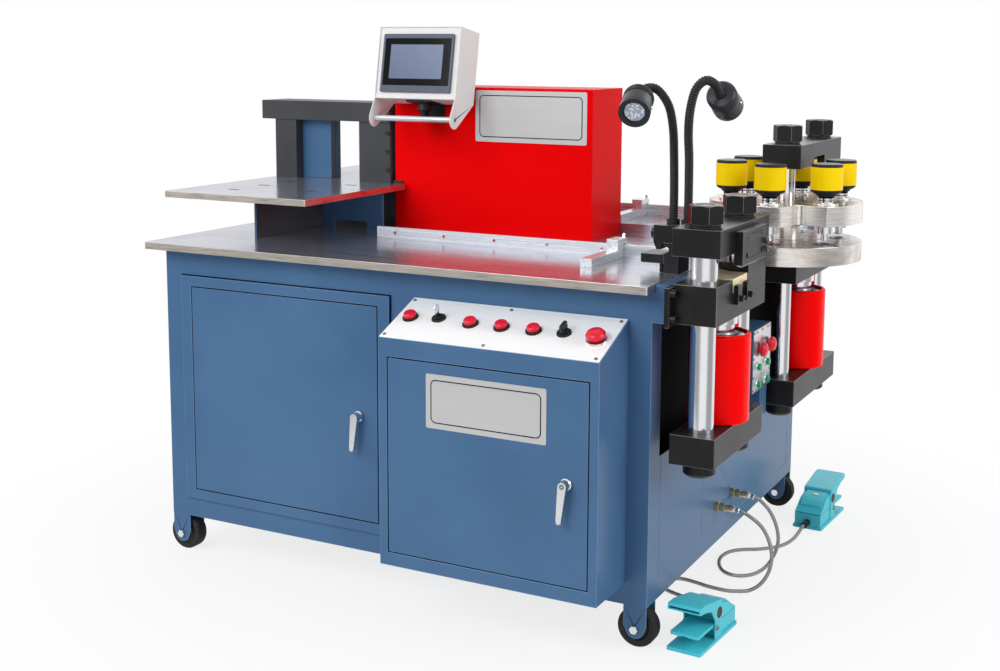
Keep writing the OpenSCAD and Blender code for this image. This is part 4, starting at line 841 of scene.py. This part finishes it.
# Where one finish meets the next, in the drawing's millimetres
PRESS_BOLTS_Z = 800
RECESS = {"x": (600, 730.5), "y": (63, 1173), "z": (467, 802)}
POST_FEET_Z, POST_FEET_X = 1036, -530
SIDE_FACE = 828
HOUSING_Y, SKIRT_Z, MOUNT_Z = 560, 1050, 1225
CHUTE = {"x": (775, 893), "y": (106.5, 216.5), "z": (875.9, FAR)}
BLADE = {"x": (876, FAR), "y": (101, 259), "z": (-FAR, 943.6)}
HOLDER_SCREWS_X = 918.2
PISTON_Z, PISTON_R = 811.9, 62
COLLAR_Z, COLLAR_R = 755, 65
SHEAR_BRIGHT, PUNCH_BRIGHT = (549, 972), (543, 1125)
DIE_DISC_Z, LOWER_FACE_Z, UPPER_FACE_Z = 936, 931, 1030
NECK_Z, WASHER_Z, CAP_Z = 1058.9, 1076, 1136
# In the frames of the screen and of the panel
GLASS_Y, SOCKET_Z = (-2.4, -0.9), 10
KEY_Z = 24
# On a foot switch
SLEEVE_FAR, SLEEVE_R = 233.5, 12

for name, finish in (("bend_ram", satin_chrome), ("inner_units", slate), ("glands", brass)):
    coat(name, finish)
dress("bolts", "machine", satin_chrome, 0.4, [(oxide, lambda p, n: p.z > PRESS_BOLTS_Z)])

# Near-black inside the side recess and on the walls of the door opening: painted shade. The lighter blue on the
# eased edges is a painted highlight.
dress("cabinet", "machine", blue, 1.4, [
    (painted_shade_black, lambda p, n: inside(p, **RECESS)),
    (painted_shade_black, lambda p, n: in_gap(p, n, LEFT_OPENING))], blue_highlight_edge)
# Near-black on the doors' rims: painted shade in the door gaps. The lighter blue on the eased edges is a painted
# highlight.
for name in ("left_door", "control_door"):
    dress(name, name, blue, 0.8, [(painted_shade_black, lambda p, n: abs(n.y) < 0.3)], blue_highlight_edge)
# Near-black on the walls of the control door's opening: painted shade. The lighter blue on the eased edges is a
# painted highlight.
dress("control_box", "machine", blue, 1.4, [
    (painted_shade_black, lambda p, n: in_gap(p, n, CONTROL_OPENING))], blue_highlight_edge)
# The support's +x faces above the posts' feet and at its left end are slate: partly slate paint, partly painted
# shade under the bend plate.
dress("bend_support", "machine", blue, 1.4, [
    (slate, lambda p, n: n.x > 0.9 and (p.z > POST_FEET_Z or p.x < POST_FEET_X))])
dress("side_box", "machine", blue, 0.8, [(dark_steel, lambda p, n: p.x > SIDE_FACE + 0.5)])
dress("table", "machine", ground_steel, 1.0, [(sawn_edge, on_rim)])
dress("rear_table", "machine", ground_steel, 0.8)
# Near-black on the rims round the slots: painted shade inside them.
dress("bend_plate", "machine", ground_steel, 0.8, [
    (painted_shade_black, lambda p, n: on_rim(p, n) and in_slots(p)),
    (sawn_edge, lambda p, n: on_rim(p, n) and not in_slots(p))])
dress("rails", "machine", bar_steel, 0.5)
dress("bend_frame", "machine", slate, 0.5)
dress("housing", "machine", red, 1.2, [
    (tyre, lambda p, n: p.y < HOUSING_Y - 0.01 and p.z < SKIRT_Z),
    (black_plastic, lambda p, n: p.y < HOUSING_Y - 0.1 and p.z > MOUNT_Z)])
dress("hmi_box", "screen", white, 1.0, [(bar_steel, lambda p, n: on_bar(p))])
dress("hmi_panel", "screen", bezel_slate, 0.8, [
    (black_glass, lambda p, n: inside(within(SCREEN, p), y=GLASS_Y) and n.y < -0.9),
    (black_plastic, lambda p, n: within(SCREEN, p).z < SOCKET_Z)])


def on_dial(p, dials):
    """On the bezel of one of the panel's switches."""
    q = within(PANEL, p)
    return q.z > PANEL_T and any((q.x - x) ** 2 + (q.y - s) ** 2 < BEZEL_R ** 2 for x, s in dials)


dress("slope_panel", "machine", panel_silver, 0.4, [
    (black_plastic, lambda p, n: on_dial(p, DIALS)), (satin_chrome, lambda p, n: on_dial(p, [ESTOP])),
    (dark_steel, lambda p, n: within(PANEL, p).z > PANEL_T and not on_dial(p, DIALS + [ESTOP]))])
for name in ("button_1", "button_2", "button_3", "button_4", "estop", "mushroom_1", "mushroom_2"):
    dress(name, name, crimson, 0.8)
dress("key_switch", "key_switch", black_plastic, 0.4, [
    (satin_chrome, lambda p, n: within(PANEL, p).z > KEY_Z)])
dress("lever_switch", "lever_switch", black_plastic, 0.4)
for name in ("left_handle", "control_handle"):
    dress(name, name, satin_chrome, 1.2)

# On the black oxide parts here and below, the lighter eased edges are partly wear, partly a painted highlight.
dress("press_bases", "machine", oxide, 1.2, [
    (chrome, lambda p, n: p.z < PISTON_Z and off_axis(p, PRESSES) < PISTON_R)], wear_and_highlight_edge)
dress("shear_fixtures", "machine", oxide, 0.6, [
    (gold_brass, lambda p, n: inside(p, **CHUTE))], wear_and_highlight_edge)
dress("shear_head", "shear", oxide, 0.9, [
    (satin_chrome, lambda p, n: inside(p, **BLADE)),
    (dark_steel, lambda p, n: p.x > HOLDER_SCREWS_X)], wear_and_highlight_edge)
dress("shear_yoke", "shear", oxide, 1.0, edge=wear_and_highlight_edge)
for name in ("punch_crosshead", "punch_yoke"):
    dress(name, "punch", oxide, 1.2, edge=wear_and_highlight_edge)
for name, rods, radius, bright in (("shear", SHEAR_RODS, 34, SHEAR_BRIGHT), ("punch", PUNCH_RODS, 29, PUNCH_BRIGHT)):
    dress(name + "_rods", name, oxide, 0.6, [
        (chrome, lambda p, n, rods=rods, r=radius, z=bright: off_axis(p, rods) < r and inside(p, z=z))], wear_and_highlight_edge)
    dress(name + "_cylinder", name, cylinder_red, 1.0, [
        (dark_steel, lambda p, n: p.z > COLLAR_Z and off_axis(p, PRESSES) < COLLAR_R)])
# Top faces of the discs get the darker brown: painted shade and painted bronze reflection.
dress("turret", "turret", disc_steel, 1.0, [
    (die_steel, lambda p, n: p.z < DIE_DISC_Z),
    (disc_top_shade_reflection, lambda p, n: n.z > 0.9 and (p.z < LOWER_FACE_Z or p.z > UPPER_FACE_Z))])
for name in ("punch_head", "punch_2", "punch_3", "punch_4", "punch_5", "punch_6"):
    dress(name, name, yellow, 0.8, [
        (black_plastic, lambda p, n: p.z > CAP_Z or NECK_Z < p.z < WASHER_Z), (neck, lambda p, n: p.z <= NECK_Z)])
coat("lamps", black_paint)
for name, x in WHEELS.items():
    dress(name, name, tyre, 0.8, [
        (hub_grey, lambda p, n, x=x: ((p.x - x) ** 2 + (p.z - AXLE_Z) ** 2) ** 0.5 < HUB_R)])
for name in ("stop_front", "stop_rear"):
    dress(name, name, aluminium, 0.8)


def on_sleeve(name, p):
    """On the rubber sleeve where a hose enters a foot switch."""
    far, side = off_foot(name, p)
    return far > SLEEVE_FAR and abs(side) < SLEEVE_R


for name in FEET:
    dress(name, "machine", teal, 1.2, [(black_plastic, lambda p, n, name=name: on_sleeve(name, p))])
    dress(name + "_pedal", name + "_pedal", teal, 0.8)

# ---------------------------------------------------------------- new pieces

PLATE_T = 0.0012
QUARTER = radians(90)


def name_plate(name, body, middle, size):
    """Bare satin plate with a thin black line inside its rim, where the machine has its plates."""
    face = Matrix.Translation(at(*middle)) @ Matrix.Rotation(QUARTER, 4, "X")
    for part, inset, corner, out, finish in (
            ("", 0, 0.005, 0.0, label_plate), ("_line", 26, 0.014, 0.0001, ink),
            ("_field", 32, 0.011, 0.0002, label_plate)):
        plate = slab(((size[0] - inset) * MM, (size[1] - inset) * MM, PLATE_T), corner=corner)
        plate.data.transform(face @ Matrix.Translation((0, 0, 0.0007 + out)))
        done(plate, name + part, body, finish)


name_plate("housing_plate", "machine", (131, 560, 1245), (354, 148))
name_plate("door_plate", "control_door", (380.5, -169, 597), (323, 134))


def screw(place, aim, d, high=0.0016):
    """Round head of a small screw with a hollow for the driver."""
    r = d / 2
    return turned([(0, r), (high * 0.5, r), (high, r * 0.75), (high, r * 0.36), (high * 0.45, r * 0.3)], 20,
                  place, aim)


# Light plate on the side box, with its screws and four green buttons
PLATE_FRONT = SIDE_FACE + 1.3
OUTWARD = (1, 0, 0)
COLUMNS, ROWS = (520, 596), (606, 558)
plate = slab((0.152, 0.167, PLATE_T), corner=0.002)
plate.data.transform(Matrix.Translation(at(SIDE_FACE + 0.75, 558, 623.5)) @ Matrix.Rotation(QUARTER, 4, "Z")
                     @ Matrix.Rotation(QUARTER, 4, "X"))
bored(plate, [(at(SIDE_FACE, y, 655), OUTWARD, 0.0405) for y in COLUMNS])
done(plate, "side_box_plate", "machine", face_plate)
heads = [screw(at(PLATE_FRONT, y, z), OUTWARD, 0.007)
         for y in (488, 511, 558, 605, 628) for z in (546, 581, 632, 701)
         if not 560 < z < 640 or y in (488, 558, 628)]
done(join(heads), "side_box_screws", "machine", dark_steel)
for column, y in enumerate(COLUMNS):
    for row, z in enumerate(ROWS):
        ring = turned([(0, 0.0135), (0.002, 0.0135), (0.003, 0.0122), (0.003, 0.0098), (0.0018, 0.0095)], 40,
                      at(PLATE_FRONT, y, z), OUTWARD)
        number = str(2 * row + column + 1)
        done(ring, "side_ring_" + number, "machine", satin_chrome)
        cap = turned([(0, 0.0092), (0.008, 0.0092), (0.0095, 0.0084), (0.0100, 0.0060)], 40,
                     at(SIDE_FACE + 3.2, y, z), OUTWARD)
        done(cap, "side_button_" + number, "machine", green)

# Plain display under the screen's glass
glass = slab((0.1746, 0.0986, 0.0003), corner=0.001)
glass.data.transform(SCREEN @ Matrix.Translation((-0.0027, -0.0022, 0.1067)) @ Matrix.Rotation(QUARTER, 4, "X"))
done(glass, "screen_display", "screen", display)

# Lamps: ribbed goosenecks, fins, front rings and lenses. Each route is counted from the lamps' foot, and ends in
# the direction in which the lamp shines.
LAMP_FOOT = (700, 190, 1018)
NECKS = (
    ([(8, 0, 14), (8, 0, 82), (6, 0, 162), (2, 0, 232), (-10, -2, 287), (-32, -18, 324), (-50, -44, 329),
      (-59, -68, 313)], (0.2, -0.87, -0.45)),
    ([(45, 0, 14), (46, -2, 82), (48, -10, 162), (50, -24, 222), (58, -38, 277), (72, -42, 327), (90, -25, 349),
      (103, 5, 340), (107, 32, 318)], (-0.06, 0.96, -0.42)))
NECK_R, RIB_H, RIB_PITCH = 0.0104, 0.0009, 0.0062
FIN_R, FIN_ROOT = 0.0372, 0.0355


def rib(far):
    """The radius of a ribbed neck, by metres along it."""
    return NECK_R + RIB_H * sin(2 * pi * far / RIB_PITCH)


for number, (route, aim) in enumerate(NECKS, 1):
    name = "lamp_%d_" % number
    line = curve_points([at(*(a + b for a, b in zip(p, LAMP_FOOT))) for p in route], 60)
    done(tube("neck", line, rib, 20), name + "neck", "machine", black_plastic, 60)
    aim = Vector(aim).normalized()
    tip = line[-1] - 0.002 * aim
    front = tip + aim * 0.082
    face = turned([(0, 0.0275), (0.0015, 0.0275), (0.0022, 0.025), (0.0026, 0.010)], 48, front, aim)
    done(face, name + "lens", "machine", lens)
    ring = turned([(0, 0.0288), (0.004, 0.0288), (0.004, 0.0250), (0.0015, 0.0240)], 48, front, aim)
    done(ring, name + "ring", "machine", black_plastic)
    fins = [turned([(0, FIN_ROOT), (0.0012, FIN_R), (0.0028, FIN_R), (0.004, FIN_ROOT)], 48, tip + aim * z, aim)
            for z in (0.016, 0.022, 0.028)]
    done(join(fins), name + "fins", "machine", black_paint)
    side = aim.cross(Vector((0, 0, 1))).normalized()
    studs = [screw(tip + aim * 0.062 + side * s * FIN_R, side * s, 0.007, 0.002) for s in (1, -1)]
    done(join(studs), name + "screws", "machine", satin_chrome)

# Hose ends: crimped ferrules at the glands
for name, route in (("hose_a", HOSE_A), ("hose_b", HOSE_B)):
    way = (route[1] - route[0]).normalized()
    end = turned([(0, 0.0062), (0.001, 0.0072), (0.007, 0.0072), (0.008, 0.0066), (0.011, 0.0066),
                  (0.012, 0.0072), (0.018, 0.0072), (0.0195, 0.0056)], 40, route[0] - way * 0.001, way)
    done(end, name + "_ferrule", "machine", satin_chrome)

# Foot switches: bare oval plate on the lid, pivot bolts, brown seal in the hood's side
LID_FALL = atan2(11, 45)
for name, (_, turn) in FEET.items():
    across = (foot_point(name, 1, 0, 0) - foot_point(name, 0, 0, 0)).normalized()
    oval = turned([(0, 0.0105), (0.0008, 0.0105), (0.0011, 0.0098)], 40)
    oval.data.transform(Matrix.Diagonal((1, 0.55, 1, 1)))
    oval.data.transform(Matrix.Translation(foot_point(name, 0, 160, 88.2)) @ Matrix.Rotation(radians(turn), 4, "Z")
                        @ Matrix.Rotation(-LID_FALL, 4, "X"))
    done(oval, name + "_oval", "machine", label_plate)
    bolts = [screw(foot_point(name, s * 43, 105, 36), across * s, 0.012, 0.004) for s in (1, -1)]
    bolts += [screw(foot_point(name, s * 30, 228, 9), (0, 0, 1), 0.008, 0.003) for s in (1, -1)]
    done(join(bolts), name + "_bolts", "machine", dark_steel)
    seals = [turned([(0, 0.014), (0.0012, 0.014), (0.0016, 0.0125), (0.0010, 0.011), (0.0010, 0.004)], 40,
                    foot_point(name, s * 43, 118, 72), across * s) for s in (1, -1)]
    done(join(seals), name + "_seals", "machine", brown)

# Handle locks: key cylinders in the bosses
for name, x, y, z in (("left", -82, -28, 480), ("control", 595, -196, 446)):
    lock = turned([(0, 0.0062), (0.0010, 0.0062), (0.0011, 0.0054), (0.0011, 0.0022), (0.0004, 0.0018)], 32,
                  at(x, y, z), (0, -1, 0))
    done(lock, name + "_lock", name + "_handle", dark_steel)

# Black seal round the proud rim of the left door: strips beside it, above it and below it. Their near-black is
# partly the seal and partly painted shade in the door's seam.
LEFT, RIGHT, BOTTOM, TOP = -674, 12, 165, 807
SEAL_W, SEAL_T, CLEAR = 3, 0.0011, 0.1
STRIPS = ((LEFT - SEAL_W, LEFT - CLEAR, BOTTOM - SEAL_W, TOP + SEAL_W),
          (RIGHT + CLEAR, RIGHT + SEAL_W, BOTTOM - SEAL_W, TOP + SEAL_W),
          (LEFT - SEAL_W, RIGHT + SEAL_W, TOP + CLEAR, TOP + SEAL_W),
          (LEFT - SEAL_W, RIGHT + SEAL_W, BOTTOM - SEAL_W, BOTTOM - CLEAR))
strips = [slab(((x1 - x0) * MM, SEAL_T, (z1 - z0) * MM), at((x0 + x1) / 2, -0.55, (z0 + z1) / 2), edge=0.0004)
          for x0, x1, z0, z1 in STRIPS]
done(join(strips), "left_rim_seal", "machine", painted_shade_black)

# Domed rod ends in the big nuts
for name, rods, r, top in (("shear", SHEAR_RODS, 0.0210, 1080), ("punch", PUNCH_RODS, 0.0158, 1232)):
    ends = [turned([(0, r), (0.0036, r), (0.0050, r * 0.88), (0.0055, r * 0.4)], 48, at(x, y, top))
            for x, y in rods]
    done(join(ends), name + "_rod_ends", name, oxide)

# Screw heads at the ears of the screen
ends = [screw(on(SCREEN, s * 135.6, BAR_Y, BAR_Z), (s, 0, 0), 0.011, 0.0024) for s in (1, -1)]
done(join(ends), "screen_ear_screws", "screen", dark_steel)

# Rings round the die openings of the lower disc
STATIONS, STATION_R, DIE_R = 6, 150, 0.0135
dies = []
for k in range(STATIONS):
    a = QUARTER + radians(360 / STATIONS * k)
    dies.append(turned([(0, DIE_R), (0, 0.031), (0.0008, 0.031), (0.0014, 0.0295), (0.0014, DIE_R)], 48,
                       at(PRESS_X + STATION_R * cos(a), HUB_Y + STATION_R * sin(a), 930), open_ring=True))
done(join(dies), "die_rings", "turret", dark_steel)

# ---------------------------------------------------------------- floor and light


def floor():
    """Pale floor with soft shadows close to the machine. To the camera, and in metal and glass, it is nearly white,
    and quite white far out."""
    nothing_selected()
    bpy.ops.mesh.primitive_circle_add(vertices=128, radius=2.4, fill_type="NGON", location=(0, 0, 0))
    piece = bpy.context.object
    piece.name = "floor"
    f = Finish("floor_pale", (0.86, 0.86, 0.86), 0.7)
    f.put("Roughness", 0.6 + f.noise(3.0, 3.0) * 0.2)
    far = f.node("ShaderNodeVectorMath", {"operation": "LENGTH"}, {0: f.place()}, output="Value")
    share = (f.ray("Camera") + f.ray("Glossy") + f.ray("Transmission")) * (0.8 + 0.2 * far.smooth(0.9, 1.9))
    both = f.node("ShaderNodeMixShader", None,
                  {0: share, 1: Value(f, f.shader.outputs[0]), 2: f.node("ShaderNodeEmission")})
    f.link(both, f.tree.nodes["Material Output"].inputs["Surface"])
    piece.data.materials.append(f.material)


def light(name, place, size, power):
    """Soft rectangular lamp aimed at the middle of the machine."""
    data = bpy.data.lights.new(name, "AREA")
    data.shape = "RECTANGLE"
    data.size, data.size_y = size
    data.energy = power
    lamp = bpy.data.objects.new(name, data)
    bpy.context.scene.collection.objects.link(lamp)
    lamp.location = place
    lamp.rotation_euler = (Vector(place) - Vector((0, 0, 0.8))).to_track_quat("Z", "Y").to_euler()


def world():
    """White to the camera. In gloss and glass, white above the horizon, and white with greyer gaps below it."""
    studio = bpy.data.worlds.new("studio")
    bpy.context.scene.world = studio
    studio.use_nodes = True
    f = Tree(studio.node_tree)
    way = f.node("ShaderNodeTexCoord", output="Generated")
    north = f.axis("Y", way)
    panels = (north.math("ARCTAN2", north, f.axis("X", way)) * 3 - radians(98)).sine().smooth(-0.75, 0.6)
    gap = (1 - panels) * (1 - f.axis("Z", way).smooth(-0.01, 0.08))
    camera, mirror = f.ray("Camera"), f.ray("Glossy") + f.ray("Transmission")
    level = camera + mirror * (1 - gap * 0.6) + (1 - camera - mirror) * 0.47
    background = f.tree.nodes["Background"].inputs
    f.link((1, 1, 1, 1), background["Color"])
    f.link(level, background["Strength"])


floor()
world()
for lamp in (("key", (-1.2, -4.4, 3.4), (3.0, 2.4), 132), ("fill", (-4.2, -2.6, 2.6), (2.6, 2.6), 45),
             ("right", (4.4, -0.4, 2.6), (2.4, 2.4), 84), ("back", (0.0, 4.6, 3.4), (3.2, 1.8), 52)):
    light(*lamp)
bpy.context.scene.view_settings.view_transform = "Standard"
